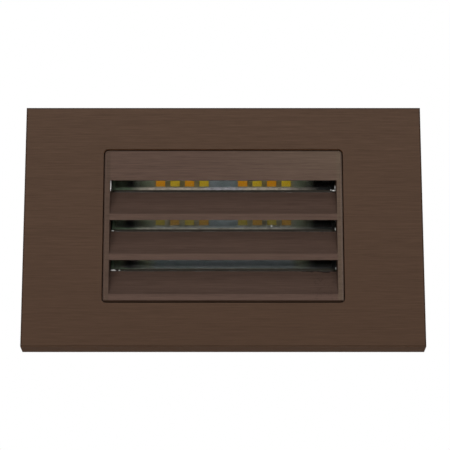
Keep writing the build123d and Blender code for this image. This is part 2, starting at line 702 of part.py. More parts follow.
def capacitor(radius, rise, at):
    """Aluminium can with a broken shoulder and a shallow vented top."""
    can = rod(radius, DRIVER_BACK, DRIVER_BACK + rise, at)
    can = chamfer(can.faces().sort_by(Axis.Y)[-1].edges(), CAP_BEVEL)
    dish = rod(radius - CAP_RIM, DRIVER_BACK + rise - CAP_VENT_DEEP, DRIVER_BACK + rise, at)
    return can - dish


def make_driver_capacitors():
    return [
        capacitor(BULK_CAP_R, BULK_CAP_H, BULK_CAP_AT),
        capacitor(OUTPUT_CAP_R, OUTPUT_CAP_H, OUTPUT_CAP_AT),
    ]


def moulded_block(size, at):
    """A moulded component on the driver board, its outer edges bevelled."""
    width, height, rise = size
    shape = block(width, height, DRIVER_BACK, DRIVER_BACK + rise, at)
    return chamfer(shape.faces().sort_by(Axis.Y)[-1].edges(), CHIP_BEVEL)


def make_driver_chips():
    return [
        moulded_block(RECTIFIER_CHIP, RECTIFIER_AT),
        moulded_block(CONTROL_CHIP, CONTROL_AT),
        moulded_block(SWITCHING_CHIP, SWITCHING_CHIP_AT),
    ]


def make_surge_varistor():
    """Disc on edge, cut flat where its coated foot meets the board."""
    centre = Pos(VARISTOR_AT[0], DRIVER_BACK + VARISTOR_R, VARISTOR_AT[1])
    disc = centre * Cylinder(VARISTOR_R, VARISTOR_T)
    disc = chamfer(disc.edges().filter_by(GeomType.CIRCLE), VARISTOR_BEVEL)
    foot = Pos(VARISTOR_AT[0], DRIVER_BACK + VARISTOR_BEVEL / 2, VARISTOR_AT[1])
    return disc + foot * Box(VARISTOR_R, VARISTOR_BEVEL, VARISTOR_T - VARISTOR_BEVEL)


def make_link_pins():
    """Pins that carry current from the driver board to the light board."""
    front = BOARD_FRONT - LINK_PROUD
    return rods(LINK_PIN_R, front, DRIVER_BACK + LINK_PROUD, LINK_PINS_AT)


def make_link_header():
    """Moulded block round the pins, seated on the driver board's front."""
    header = block(
        LINK_BLOCK_W, LINK_BLOCK_H, DRIVER_FRONT - LINK_BLOCK_L, DRIVER_FRONT, (0, LINK_Z)
    )
    for at in LINK_PINS_AT:
        header -= rod(LINK_PIN_R, DRIVER_FRONT - LINK_BLOCK_L, DRIVER_FRONT, at)
    return header


def switch_window():
    """Length and height of the cover's window for the switch stem."""
    length = STEM_L + 2 * (SWITCH_TRAVEL + SWITCH_WINDOW_GAP)
    return (length, STEM_H + 2 * SWITCH_WINDOW_GAP)


def make_rear_cover():
    """Cast back cover: cooling ribs, inlet hole, switch window and earth boss."""
    cover = block(COVER_W, COVER_H, COVER_FRONT, COVER_BACK, corner=HOUSING_CORNER_R)
    for index in range(COVER_RIBS):
        x = (index - (COVER_RIBS - 1) / 2) * COVER_RIB_PITCH
        cover += block(COVER_RIB_T, COVER_RIB_L, COVER_BACK, COVER_BACK + COVER_RIB_RISE, (x, 0))
    cover += rod(EARTH_BOSS_R, COVER_FRONT - EARTH_BOSS_H, COVER_FRONT, EARTH_AT)
    cover -= rod(
        EARTH_SCREW[0] + THREAD_GAP, COVER_FRONT - EARTH_BOSS_H, COVER_BACK, EARTH_AT
    )
    cover -= rod(INLET_NECK_R + INLET_GAP, COVER_FRONT, COVER_BACK, INLET_AT)
    cover -= block(*switch_window(), COVER_FRONT, COVER_BACK, SWITCH_AT)
    for at in SWITCH_SCREWS_AT:
        cover -= rod(TINY_SCREW[0] + SCREW_GAP, COVER_FRONT, COVER_BACK, at)
    for at in CASE_SCREWS_AT:
        cover -= rod(CASE_SCREW[0] + SCREW_GAP, COVER_FRONT, COVER_BACK, at)
    return cover


def make_case_screws():
    """Long screws that clamp cover, housing and louvred casting together."""
    return [pan_screw(CASE_SCREW, CASE_SCREW_L, COVER_BACK, at, False) for at in CASE_SCREWS_AT]


def make_earth_screw():
    """Hexagon-head earthing screw with a washer face."""
    thread_r, head_r, head_t = EARTH_SCREW
    shank = rod(thread_r, COVER_BACK - EARTH_SCREW_L, COVER_BACK, EARTH_AT)
    washer = rod(head_r, COVER_BACK, COVER_BACK + WASHER_T, EARTH_AT)
    hexagon = sweep_y(Pos(*EARTH_AT) * RegularPolygon(head_r, 6), COVER_BACK, COVER_BACK + head_t)
    return shank + washer + hexagon


def make_wire_grommet():
    """Rubber grommet: a bevelled flange each side of the cover and a bore for the supply wires."""
    half = COVER_T / 2 + INLET_FLANGE_T
    profile = Polygon(
        (INLET_BORE_R, -half),
        (INLET_FLANGE_R, -half),
        (INLET_FLANGE_R, -half + INLET_FLANGE_T),
        (INLET_NECK_R, -half + INLET_FLANGE_T),
        (INLET_NECK_R, half - INLET_FLANGE_T),
        (INLET_FLANGE_R, half - INLET_FLANGE_T),
        (INLET_FLANGE_R, half),
        (INLET_BORE_R, half),
        align=None,
    )
    rounded = profile.vertices().filter_by(lambda point: point.X > INLET_NECK_R + INLET_GAP)
    grommet = revolve(chamfer(rounded, INLET_BEVEL), Axis.Y)
    return Pos(INLET_AT[0], COVER_FRONT + COVER_T / 2, INLET_AT[1]) * grommet


def make_cct_switch_body():
    """Slide switch case with two ears behind the cover, hollow where the slider runs."""
    front = COVER_FRONT - SWITCH_DEEP
    case = block(SWITCH_L, SWITCH_H, front, COVER_FRONT, SWITCH_AT)
    case += block(SWITCH_EAR_L, SWITCH_H, COVER_FRONT - SWITCH_EAR_T, COVER_FRONT, SWITCH_AT)
    run = SLIDER_BASE_L + 2 * SWITCH_TRAVEL + 2 * SLIDE_GAP
    floor = COVER_FRONT - SWITCH_WALL - SLIDER_BASE_T - 2 * SLIDE_GAP
    cavity_h = SWITCH_H - 2 * SWITCH_WALL
    case -= block(run, cavity_h, floor, COVER_FRONT - SWITCH_WALL, SWITCH_AT)
    case -= block(*switch_window(), floor, COVER_FRONT, SWITCH_AT)
    for at in SWITCH_SCREWS_AT:
        case -= rod(TINY_SCREW[0] + THREAD_GAP, COVER_FRONT - SWITCH_EAR_T, COVER_FRONT, at)
    return case


def make_cct_switch_slider():
    """Sliding knob: a base kept inside the case and a stem through the cover's window."""
    back = COVER_FRONT - SWITCH_WALL - SLIDE_GAP
    base_h = SWITCH_H - 2 * SWITCH_WALL - 2 * SLIDE_GAP
    slider = block(SLIDER_BASE_L, base_h, back - SLIDER_BASE_T, back, SWITCH_AT)
    tip = COVER_BACK + STEM_PROUD
    stem = block(STEM_L, STEM_H, back - SLIDER_BASE_T, tip, SWITCH_AT)
    return slider + chamfer(stem.faces().sort_by(Axis.Y)[-1].edges(), STEM_BEVEL)


def make_cct_switch_screws():
    return [pan_screw(TINY_SCREW, TINY_SCREW_L, COVER_BACK, at, False) for at in SWITCH_SCREWS_AT]


def save(node, shape):
    """Write one node, holding one solid or a group of like solids."""
    solids = shape if isinstance(shape, list) else [shape]
    export_step(Compound(children=[Part(s.wrapped) for s in solids]), f"parts/{node}.step")


save("faceplate", make_faceplate())
save("faceplate_springs", make_faceplate_springs())
save("wall_gasket", make_wall_gasket())
save("louver_grille", make_louver_grille())
save("mounting_yoke", make_mounting_yoke())
save("yoke_screws", make_yoke_screws())
save("lens_seal", make_lens_seal())
save("lens", make_lens())
save("grille_gasket", eyelet_seal(GRILLE_W, GRILLE_H, SEAL_W, GRILLE_CORNER_R, GRILLE_BACK))
save("led_board", make_led_board())
save("warm_leds", make_leds(True))
save("cool_leds", make_leds(False))
save("led_board_screws", make_led_board_screws())
save("thermal_pad", make_thermal_pad())
save("housing", make_housing())
save("driver_insulator", make_driver_insulator())
save("driver_board", make_driver_board())
save("driver_board_screws", make_driver_board_screws())
save("driver_transformer", make_driver_transformer())
save("driver_capacitors", make_driver_capacitors())
save("driver_chips", make_driver_chips())
save("input_fuse", moulded_block(FUSE, FUSE_AT))
save("surge_varistor", make_surge_varistor())
save("link_pins", make_link_pins())
save("link_header", make_link_header())
save("rear_gasket", eyelet_seal(COVER_W, COVER_H, COVER_SEAL_W, HOUSING_CORNER_R, HOUSING_BACK))
save("rear_cover", make_rear_cover())
save("case_screws", make_case_screws())
save("earth_screw", make_earth_screw())
save("wire_grommet", make_wire_grommet())
save("cct_switch_body", make_cct_switch_body())
save("cct_switch_slider", make_cct_switch_slider())
save("cct_switch_screws", make_cct_switch_screws())
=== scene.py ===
import json
import math

import bmesh
import bpy
from mathutils import Matrix, Vector, noise


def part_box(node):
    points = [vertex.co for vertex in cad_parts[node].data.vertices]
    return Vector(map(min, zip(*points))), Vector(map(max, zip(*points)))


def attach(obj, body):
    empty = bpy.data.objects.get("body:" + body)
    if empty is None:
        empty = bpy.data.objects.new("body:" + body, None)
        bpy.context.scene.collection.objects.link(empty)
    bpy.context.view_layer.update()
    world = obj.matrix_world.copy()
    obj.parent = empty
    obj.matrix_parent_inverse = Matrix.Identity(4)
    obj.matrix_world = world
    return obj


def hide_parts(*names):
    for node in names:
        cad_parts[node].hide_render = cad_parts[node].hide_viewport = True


# Recessed louvred step light: dark bronze trim plate and louvre, glass, lamps, and the cast box behind.
# Metres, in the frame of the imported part: X to the right seen from the room, +Y into the wall, +Z up.
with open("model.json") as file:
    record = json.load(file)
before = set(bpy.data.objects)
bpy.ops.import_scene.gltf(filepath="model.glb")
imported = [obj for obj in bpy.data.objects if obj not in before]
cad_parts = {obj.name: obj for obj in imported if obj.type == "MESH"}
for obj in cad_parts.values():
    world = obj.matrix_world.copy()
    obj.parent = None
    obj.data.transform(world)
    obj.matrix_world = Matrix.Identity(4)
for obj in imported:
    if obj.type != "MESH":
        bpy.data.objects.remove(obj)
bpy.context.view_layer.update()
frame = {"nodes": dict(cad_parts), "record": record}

MM = 0.001
ACROSS, INWARDS, UPWARDS = 0, 1, 2
SEED = Vector((3.1, 7.7, 1.9))

# ---- the photographed view ----
CAMERA_AT = (0.0005, -0.6042, -0.1728)
CAMERA_PITCH = math.radians(106.154)
CAMERA_LENS = 169.05
CAMERA_CLIP = 0.01
SENSOR = 36.0

# ---- studio ----
FLOOR_Z = -0.48
FLOOR_SIZE = 6.0
FLOOR_COLOUR = (0.80, 0.80, 0.79)
FLOOR_SECOND_SHARE = 0.97
FLOOR_ROUGHNESS = 0.8
FLOOR_GRAIN = 6 * MM
FLOOR_RELIEF = 0.01 * MM
SKY_LIGHT = 0.12
STUDIO_LAMPS = (
    # name, place, size, watts
    ("front_lamp", (-0.1, -1.7, -0.07), (1.4, 0.36), 21.2),
    ("front_top_lamp", (-0.25, -1.3, 1.1), (1.4, 0.9), 2.2),
    ("left_lamp", (-1.5, -0.2, 0.5), (0.9, 1.2), 4.0),
    ("right_lamp", (1.5, -0.1, 0.4), (0.9, 1.2), 4.0),
    ("back_lamp", (0.2, 1.5, 0.8), (1.2, 0.9), 9.0),
)

# Colours are linear. A name that ends in FADE holds where a tone starts and where it is full,
# and one that ends in GREYS holds the middle greys of a noise, which are stretched over the whole range.
WIDE_GREYS = (0.3, 0.7)
CLOSE_GREYS = (0.35, 0.65)

# ---- bronze ----
BRONZE_ROUGHNESS = 0.45
BRONZE_SMOOTHER = 0.06
BRONZE_ROUGHER = 0.08
BRONZE_METAL = 0.12
BRONZE_SHINE = 0.01
BRONZE_GRAZING = (0.35, 0.26, 0.20)
BRONZE_RELIEF = 0.004 * MM
SOFT_EDGE = 0.12 * MM
STREAKS_PER_METRE = (130, 4200, 4200)
LONG_STREAKS_PER_METRE = (25, 2200, 2200)
LONG_STREAKS_WEIGHT = 0.4
STREAK_GREYS = (0.45, 0.95)
PLATE_STREAK_DEPTH = 0.18
INSERT_STREAK_DEPTH = 0.25

# ---- faceplate ----
PLATE_FACE_Y = -7.6 * MM
PLATE_HALF = (58.75 * MM, 36.5 * MM)
PLATE_BRONZE = (0.075, 0.046, 0.0315)
# painted shade: the faceplate's tone at its foot, darker low down
PLATE_LOW_PAINTED_SHADE = (0.061, 0.036, 0.024)
PLATE_BRONZE_DEEP = (0.066, 0.041, 0.028)
# painted shade along the faceplate's rounded front edge at its sides and top
PLATE_EDGE_PAINTED_SHADE = (0.045, 0.026, 0.018)
PLATE_EDGE_W = 0.55 * MM
# painted light on the faceplate's underside, lighter than its face
PLATE_UNDERSIDE_PAINTED_LIGHT = (0.108, 0.057, 0.032)
PLATE_UNDERSIDE_FADE = (-PLATE_HALF[1] + 0.07 * MM, -PLATE_HALF[1] + 0.02 * MM)
FRONT_FADE = (PLATE_FACE_Y + 0.9 * MM, PLATE_FACE_Y + 0.6 * MM)
RECESS_FADE = (PLATE_FACE_Y + 0.4 * MM, PLATE_FACE_Y + 2.6 * MM)

# ---- louvre insert ----
INSERT_HALF = (35.12 * MM, 23.17 * MM)
INSERT_BRONZE = (0.083, 0.0535, 0.0415)
# painted shade: the louvre's tone at its foot, darker low down
INSERT_LOW_PAINTED_SHADE = (0.080, 0.051, 0.0405)
# painted light on the slats' slopes behind the louvre's face, lighter than the face
INSERT_RECESS_PAINTED_LIGHT = (0.098, 0.062, 0.048)
# painted highlight along the louvre's front edge
INSERT_EDGE_PAINTED_HIGHLIGHT = (0.122, 0.081, 0.064)
INSERT_EDGE_W = 0.6 * MM
# a brighter painted highlight on that edge at the right
INSERT_RIGHT_EDGE_PAINTED_HIGHLIGHT = (0.175, 0.128, 0.102)
INSERT_RIGHT_EDGE_FADE = (INSERT_HALF[0] - 1.5 * MM, INSERT_HALF[0] - 0.5 * MM)
# painted shade on the louvre's side frames
INSERT_SIDE_PAINTED_SHADE = (0.071, 0.047, 0.0355)
INSERT_SIDE_FADE = (33.3 * MM, 33.6 * MM)
INSERT_RIM_FADE = (0, 0.1 * MM)
# painted light on the side frame at the right
INSERT_RIGHT_SIDE_PAINTED_LIGHT = (0.086, 0.060, 0.044)
INSERT_RIGHT_FADE = (-10 * MM, 10 * MM)
# painted shade on the louvre's downward-facing foot edge
INSERT_FOOT_PAINTED_SHADE = (0.036, 0.021, 0.014)
INSERT_FOOT_FADE = (-INSERT_HALF[1] + INSERT_EDGE_W, -INSERT_HALF[1] + 0.5 * INSERT_EDGE_W)
# the louvre's face is lighter towards its upper right
UPPER_RIGHT_TONE = (0.118, 0.086, 0.062)
UPPER_RIGHT_ACROSS_FADE = (-8 * MM, 34 * MM)
UPPER_RIGHT_RISE_FADE = (8 * MM, 23 * MM)
UPPER_RIGHT_STRENGTH = 0.55
# painted shade on the slats' back edges
SLAT_BACK_PAINTED_SHADE = (0.018, 0.012, 0.009)
SLAT_BACK_FADE = (-0.6 * MM, 0.4 * MM)
SLAT_BACK_STEP = (0.8, 1.0)
# patches of sealer and painted shade at the lower right of the slats' backs
SEALER_AND_SHADE_RIGHT_FADE = (8 * MM, 27 * MM)
SEALER_AND_SHADE_LOW_FADE = (16 * MM, -8 * MM)
SEALER_AND_SHADE_PER_METRE = (900, 900, 900)
SEALER_AND_SHADE_GREYS = (0.4, 0.6)
SEALER_AND_SHADE_PATCHES = (0.5, 1.2)
SEALER_AND_SHADE_STRENGTH = 0.7

# ---- the faceplate's window, just wider than the insert ----
# painted light on the window's wall just behind the faceplate's face
WINDOW_WALL_PAINTED_LIGHT = (0.185, 0.088, 0.044)
WINDOW_FRONT_FADE = (PLATE_FACE_Y + 0.05 * MM, PLATE_FACE_Y + 0.15 * MM)
PAST_WINDOW_DEPTH_FADE = (PLATE_FACE_Y + 1.2 * MM, PLATE_FACE_Y + 1.6 * MM)
PAST_WINDOW_SIDE_FADE = (INSERT_HALF[0] + 0.5 * MM, INSERT_HALF[0] + 0.6 * MM)
PAST_WINDOW_TOP_FADE = (INSERT_HALF[1] + 0.5 * MM, INSERT_HALF[1] + 0.6 * MM)

# ---- plain finishes ----
SPECKLE_GREYS = (0.75, 1.25)
SPECKLE_OFFSET = (4, 1, 7)
FINE_PER_BROAD = 12
ROUGHNESS_SWING = 0.07

# ---- back box ----
CAST_COAT = (0.030, 0.028, 0.026)
CAST_COAT_DARK = (0.019, 0.018, 0.017)
CAST_FINE_PER_METRE = (4500, 4500, 4500)
CAST_BROAD_PER_METRE = (380, 380, 380)
CAST_ROUGHNESS = (0.42, 0.58)
CAST_RELIEF = 0.03 * MM
# painted shade: near-black lining inside the front of the box, behind the lens
CAST_INSIDE_PAINTED_SHADE = (0.003, 0.003, 0.003)
CAST_FRONT_FADE = (11 * MM, 10 * MM)
CAST_SIDE_FADE = (33.5 * MM, 33.8 * MM)
CAST_TOP_FADE = (21.4 * MM, 21.7 * MM)
# painted light on the box's lining at its left end
CAST_LEFT_END_PAINTED_LIGHT = (0.11, 0.13, 0.08)
CAST_LEFT_END_FADE = (-28.6 * MM, -30.6 * MM)
# painted light on the box's lining beside the ends of the board
CAST_BY_BOARD_PAINTED_LIGHT = (0.30, 0.31, 0.25)
CAST_BY_BOARD_FADE = (27.6 * MM, 25.6 * MM)
CAST_BY_BOARD_RISE_FADE = (-20 * MM, 16 * MM)

# ---- bracket ----
ZINC = (0.46, 0.47, 0.48)
ZINC_DARK = (0.34, 0.36, 0.39)
ZINC_FLAKES_PER_METRE = (420, 420, 420)
ZINC_CLOUDS_PER_METRE = (700, 700, 700)
ZINC_FLAKE_REACH = (0.1, 0.7)
ZINC_ROUGHNESS = (0.28, 0.42)

# ---- pane ----
PANE_TINT = (0.97, 0.985, 0.98)
PANE_ROUGHNESS = 0.20
PANE_SHINE = 0.03
PANE_WAVES_PER_METRE = (160, 160, 160)
GLASS_IOR = 1.45
PASSING_TINT = (0.93, 0.95, 0.94)

# ---- silicone ----
SILICONE_IOR = 1.41
SILICONE_LUMPS_PER_METRE = (900, 900, 900)
BEAD_CLARITY = 0.35
BEAD_SHINE = 0.15
BEAD_PASSES = 0.6
BEAD_PATCHES = (0.6, 1.1)
BEAD_MILK = (0.46, 0.41, 0.35)
BEAD_MILK_MIDDLE = (0.44, 0.43, 0.46)
BEAD_MIDDLE_FADE = (7 * MM, 4 * MM)
# painted shade on the lower runs of the bead
BEAD_LOWER_PAINTED_SHADE = (0.29, 0.275, 0.24)
BEAD_LOWER_SHADE_FADE = (12 * MM, 2 * MM)
# deeper painted shade on the lowest run
BEAD_LOWEST_PAINTED_SHADE = (0.16, 0.155, 0.13)
BEAD_LOWEST_SHADE_FADE = (-1 * MM, -9 * MM)
# painted shade, tinted green, at the bead's left end
BEAD_LEFT_END_PAINTED_SHADE = (0.09, 0.12, 0.08)
BEAD_LEFT_END_FADE = (-23.0 * MM, -28.0 * MM)
# painted shade at the bead's right end
BEAD_RIGHT_END_PAINTED_SHADE = (0.02, 0.02, 0.02)
BEAD_RIGHT_END_FADE = (16.0 * MM, 28.5 * MM)
BEAD_SHADE = (0.035, 0.030, 0.023)
BEAD_SHADE_STEP = (0.516, 0.504)
DROP_WHITE = (0.88, 0.87, 0.84)
DROP_GREY = (0.66, 0.66, 0.65)
DROP_CLOUDS_PER_METRE = (1500, 1500, 1500)

LOUVRE_PITCH = 12.213 * MM
BEAD_LINES = (13.18 * MM, 0.967 * MM, -11.246 * MM)
BEAD_RISES = (1.0 * MM, 0.65 * MM, 0.35 * MM)
BEAD_W = 1.0 * MM
BEAD_RIPPLE = 0.12 * MM
BEAD_ROUNDING = 0.28
BEAD_CUT = 0.8
BROAD_WAVE = 2.2 * MM
FINE_WAVE = 0.7 * MM

# ---- light board ----
UPPER_ROW_Z = 16.8 * MM
LOWER_ROW_Z = 4.7 * MM
BOARD_WHITE = (0.78, 0.82, 0.90)
BOARD_GREY = (0.56, 0.66, 0.70)
BOARD_CLOUDS_PER_METRE = (260, 260, 420)
# painted shade towards the board's ends
BOARD_END_PAINTED_SHADE = (0.50, 0.53, 0.36)
BOARD_END_FADE = (19.6 * MM, 22.2 * MM)
# dark painted shade at the board's ends and low in the gaps
BOARD_DARK_PAINTED_SHADE = (0.03, 0.035, 0.03)
BOARD_DARK_SHADE_FADE = (22.0 * MM, 27.4 * MM)
BOARD_DARK_SHADE_WAVER = (-0.12, 0.12)
BOARD_DARK_SHADE_STEP = (0.05, 0.95)
BOARD_GLOW = (0.80, 0.58, 0.16)
GLOW_INNER_FADE = (4.6 * MM, 6.2 * MM)
GLOW_OUTER_FADE = (20.0 * MM, 22.0 * MM)
GLOW_REACH = (2.3 * MM, 1.1 * MM)
GLOW_ROWS = ((UPPER_ROW_Z, 0.75), (LOWER_ROW_Z, 0.5))
# foot, clear height above it, and strength of each band of painted shade low in a gap
BOARD_FOOT_SHADES = ((-9.7 * MM, -8.2 * MM, 0.68), (2.6 * MM, 3.8 * MM, 0.5))
BOARD_FOOT_SHADE_RISE = (3 * MM, 2 * MM)
BOARD_SHADE_FADE = (-12 * MM, 17 * MM)
BOARD_SHADE = (0.45, 1.0)
# painted shade on the lower row of lamps
LOWER_ROW_SHADE_SHARE = 0.72
LOWER_ROW_PAINTED_SHADE = (0.11, 0.12, 0.06)
LAMP_GRAINS_PER_METRE = (2600, 2600, 2600)


# ================= nodes for the finishes =================
def new_finish(name, colour, roughness, metallic=0.0):
    """A material whose shader carries its plain values on its own sockets."""
    material = bpy.data.materials.new(name)
    material.use_nodes = True
    shader = material.node_tree.nodes["Principled BSDF"]
    shader.inputs["Base Color"].default_value = (*colour, 1)
    shader.inputs["Roughness"].default_value = roughness
    shader.inputs["Metallic"].default_value = metallic
    return material, material.node_tree, shader


def pattern_place(tree, scale, offset=(0, 0, 0)):
    """The piece's own coordinates, stretched to the grain of a pattern."""
    coordinates = tree.nodes.new("ShaderNodeTexCoord")
    mapping = tree.nodes.new("ShaderNodeMapping")
    mapping.inputs["Scale"].default_value = scale
    mapping.inputs["Location"].default_value = offset
    tree.links.new(coordinates.outputs["Object"], mapping.inputs["Vector"])
    return mapping.outputs["Vector"]


def grain(tree, scale, detail=3.0, rough=0.55, offset=(0, 0, 0)):
    """Cloudy noise, its grain given as counts per metre along each axis."""
    texture = tree.nodes.new("ShaderNodeTexNoise")
    texture.inputs["Scale"].default_value = 1.0
    texture.inputs["Detail"].default_value = detail
    texture.inputs["Roughness"].default_value = rough
    tree.links.new(pattern_place(tree, scale, offset), texture.inputs["Vector"])
    return texture.outputs["Fac"]


def spread(tree, value, low, high, new_low=0.0, new_high=1.0):
    """Stretch the middle of a pattern over a wanted range."""
    node = tree.nodes.new("ShaderNodeMapRange")
    ends = {"From Min": low, "From Max": high, "To Min": new_low, "To Max": new_high}
    for socket, number in ends.items():
        node.inputs[socket].default_value = number
    tree.links.new(value, node.inputs["Value"])
    return node.outputs["Result"]


def blend_colours(tree, share, first, second, kind="MIX"):
    """Mix two colours, each a linear colour or a socket, by a share."""
    node = tree.nodes.new("ShaderNodeMix")
    node.data_type = "RGBA"
    node.blend_type = kind
    for socket, colour in zip((node.inputs[6], node.inputs[7]), (first, second)):
        if isinstance(colour, bpy.types.NodeSocket):
            tree.links.new(colour, socket)
        else:
            socket.default_value = (*colour, 1)
    if isinstance(share, bpy.types.NodeSocket):
        tree.links.new(share, node.inputs[0])
    else:
        node.inputs[0].default_value = share
    return node.outputs[2]


def combine(tree, kind, first, second):
    """One arithmetic step on two values, each a number or a socket."""
    node = tree.nodes.new("ShaderNodeMath")
    node.operation = kind
    for socket, value in zip(node.inputs, (first, second)):
        if isinstance(value, bpy.types.NodeSocket):
            tree.links.new(value, socket)
        else:
            socket.default_value = value
    return node.outputs[0]


def place_of(tree):
    """The piece's own coordinates, one socket for each axis."""
    coordinates = tree.nodes.new("ShaderNodeTexCoord")
    parts = tree.nodes.new("ShaderNodeSeparateXYZ")
    tree.links.new(coordinates.outputs["Object"], parts.inputs[0])
    return parts.outputs


def along(tree, axis, low, high):
    """A share that runs from 0 to 1 between two places along one of the piece's axes."""
    return spread(tree, place_of(tree)[axis], low, high)


def off_centre(tree, axis, low, high):
    """The same on both sides of the middle: 0 at the low distance, 1 at the high one."""
    return spread(tree, combine(tree, "ABSOLUTE", place_of(tree)[axis], 0), low, high)


def rim_share(tree, half_size, start, end):
    """Nearness to the sides and top of a rectangle: 0 further in than start, 1 from end outwards."""
    place = place_of(tree)
    half_width, half_height = half_size
    across = combine(tree, "SUBTRACT", combine(tree, "ABSOLUTE", place[ACROSS], 0), half_width)
    upwards = combine(tree, "SUBTRACT", place[UPWARDS], half_height)
    return spread(tree, combine(tree, "MAXIMUM", across, upwards), start, end)


def grey_of(tree, value):
    """A value as a grey colour, for dimming another."""
    node = tree.nodes.new("ShaderNodeCombineColor")
    for channel in node.inputs:
        tree.links.new(value, channel)
    return node.outputs[0]


def relief(tree, shader, height, depth, edge_radius=0.0):
    """Emboss the surface by a pattern; the radius also softens how sharp edges catch light."""
    bump = tree.nodes.new("ShaderNodeBump")
    bump.inputs["Strength"].default_value = 1.0
    bump.inputs["Distance"].default_value = depth
    tree.links.new(height, bump.inputs["Height"])
    if edge_radius:
        soft_edge = tree.nodes.new("ShaderNodeBevel")
        soft_edge.samples = 4
        soft_edge.inputs["Radius"].default_value = edge_radius
        tree.links.new(soft_edge.outputs["Normal"], bump.inputs["Normal"])
    tree.links.new(bump.outputs["Normal"], shader.inputs["Normal"])


# ================= finishes =================
def arris_share(tree, half_size, width):
    """Share of the front edge along the sides and top of a rectangle."""
    front = along(tree, INWARDS, *FRONT_FADE)
    return combine(tree, "MULTIPLY", rim_share(tree, half_size, -width, -0.5 * width), front)


def window_wall_share(tree):
    """Share of the window's wall close behind the faceplate's face."""
    past_side = off_centre(tree, ACROSS, *PAST_WINDOW_SIDE_FADE)
    past_top = off_centre(tree, UPWARDS, *PAST_WINDOW_TOP_FADE)
    past = combine(tree, "MAXIMUM", past_side, past_top)
    past = combine(tree, "MAXIMUM", past, along(tree, INWARDS, *PAST_WINDOW_DEPTH_FADE))
    wall = combine(tree, "SUBTRACT", along(tree, INWARDS, *WINDOW_FRONT_FADE), past)
    return spread(tree, wall, 0, 1)


def plate_tones(tree):
    """Faceplate: painted shade low down, a deeper tone behind its face, painted shade on its front outline,
    and painted light on its underside and on its window wall.
    """
    low_down = along(tree, UPWARDS, PLATE_HALF[1], -PLATE_HALF[1])
    toned = blend_colours(tree, low_down, PLATE_BRONZE, PLATE_LOW_PAINTED_SHADE)
    toned = blend_colours(tree, along(tree, INWARDS, *RECESS_FADE), toned, PLATE_BRONZE_DEEP)
    toned = blend_colours(tree, arris_share(tree, PLATE_HALF, PLATE_EDGE_W), toned, PLATE_EDGE_PAINTED_SHADE)
    toned = blend_colours(tree, along(tree, UPWARDS, *PLATE_UNDERSIDE_FADE), toned, PLATE_UNDERSIDE_PAINTED_LIGHT)
    return blend_colours(tree, window_wall_share(tree), toned, WINDOW_WALL_PAINTED_LIGHT)


def upper_right_share(tree):
    """Share of a lighter tone on the insert's face, growing towards its upper right."""
    right = along(tree, ACROSS, *UPPER_RIGHT_ACROSS_FADE)
    lighter = combine(tree, "MULTIPLY", right, along(tree, UPWARDS, *UPPER_RIGHT_RISE_FADE))
    lighter = combine(tree, "MULTIPLY", lighter, along(tree, INWARDS, *FRONT_FADE))
    return combine(tree, "MULTIPLY", lighter, UPPER_RIGHT_STRENGTH)


def slat_back_shade_share(tree):
    """Share of painted shade at the far end of the slats, which patches of sealer and painted shade bring
    forwards at the lower right.
    """
    right = along(tree, ACROSS, *SEALER_AND_SHADE_RIGHT_FADE)
    sealer_and_shade = combine(tree, "MULTIPLY", right, along(tree, UPWARDS, *SEALER_AND_SHADE_LOW_FADE))
    patches = spread(tree, grain(tree, SEALER_AND_SHADE_PER_METRE), *SEALER_AND_SHADE_GREYS, *SEALER_AND_SHADE_PATCHES)
    sealer_and_shade = combine(tree, "MULTIPLY", combine(tree, "MULTIPLY", sealer_and_shade, patches), SEALER_AND_SHADE_STRENGTH)
    back = combine(tree, "ADD", along(tree, INWARDS, *SLAT_BACK_FADE), sealer_and_shade)
    return spread(tree, back, *SLAT_BACK_STEP)


def insert_tones(tree):
    """Louvre: painted shade low down, on its left side frame, its foot and the slats' backs with their
    sealer; painted light behind its face and on its right side frame; a painted highlight on its front edge;
    a lighter tone towards its upper right.
    """
    low_down = along(tree, UPWARDS, INSERT_HALF[1], -INSERT_HALF[1])
    toned = blend_colours(tree, low_down, INSERT_BRONZE, INSERT_LOW_PAINTED_SHADE)
    rim = rim_share(tree, INSERT_HALF, *INSERT_RIM_FADE)
    side = combine(tree, "SUBTRACT", off_centre(tree, ACROSS, *INSERT_SIDE_FADE), rim)
    to_right = along(tree, ACROSS, *INSERT_RIGHT_FADE)
    side_shade_and_light = blend_colours(tree, to_right, INSERT_SIDE_PAINTED_SHADE, INSERT_RIGHT_SIDE_PAINTED_LIGHT)
    toned = blend_colours(tree, spread(tree, side, 0, 1), toned, side_shade_and_light)
    toned = blend_colours(tree, along(tree, INWARDS, *RECESS_FADE), toned, INSERT_RECESS_PAINTED_LIGHT)
    right_edge = along(tree, ACROSS, *INSERT_RIGHT_EDGE_FADE)
    edge_highlight = blend_colours(tree, right_edge, INSERT_EDGE_PAINTED_HIGHLIGHT, INSERT_RIGHT_EDGE_PAINTED_HIGHLIGHT)
    toned = blend_colours(tree, arris_share(tree, INSERT_HALF, INSERT_EDGE_W), toned, edge_highlight)
    toned = blend_colours(tree, along(tree, UPWARDS, *INSERT_FOOT_FADE), toned, INSERT_FOOT_PAINTED_SHADE)
    toned = blend_colours(tree, upper_right_share(tree), toned, UPPER_RIGHT_TONE)
    return blend_colours(tree, slat_back_shade_share(tree), toned, SLAT_BACK_PAINTED_SHADE)


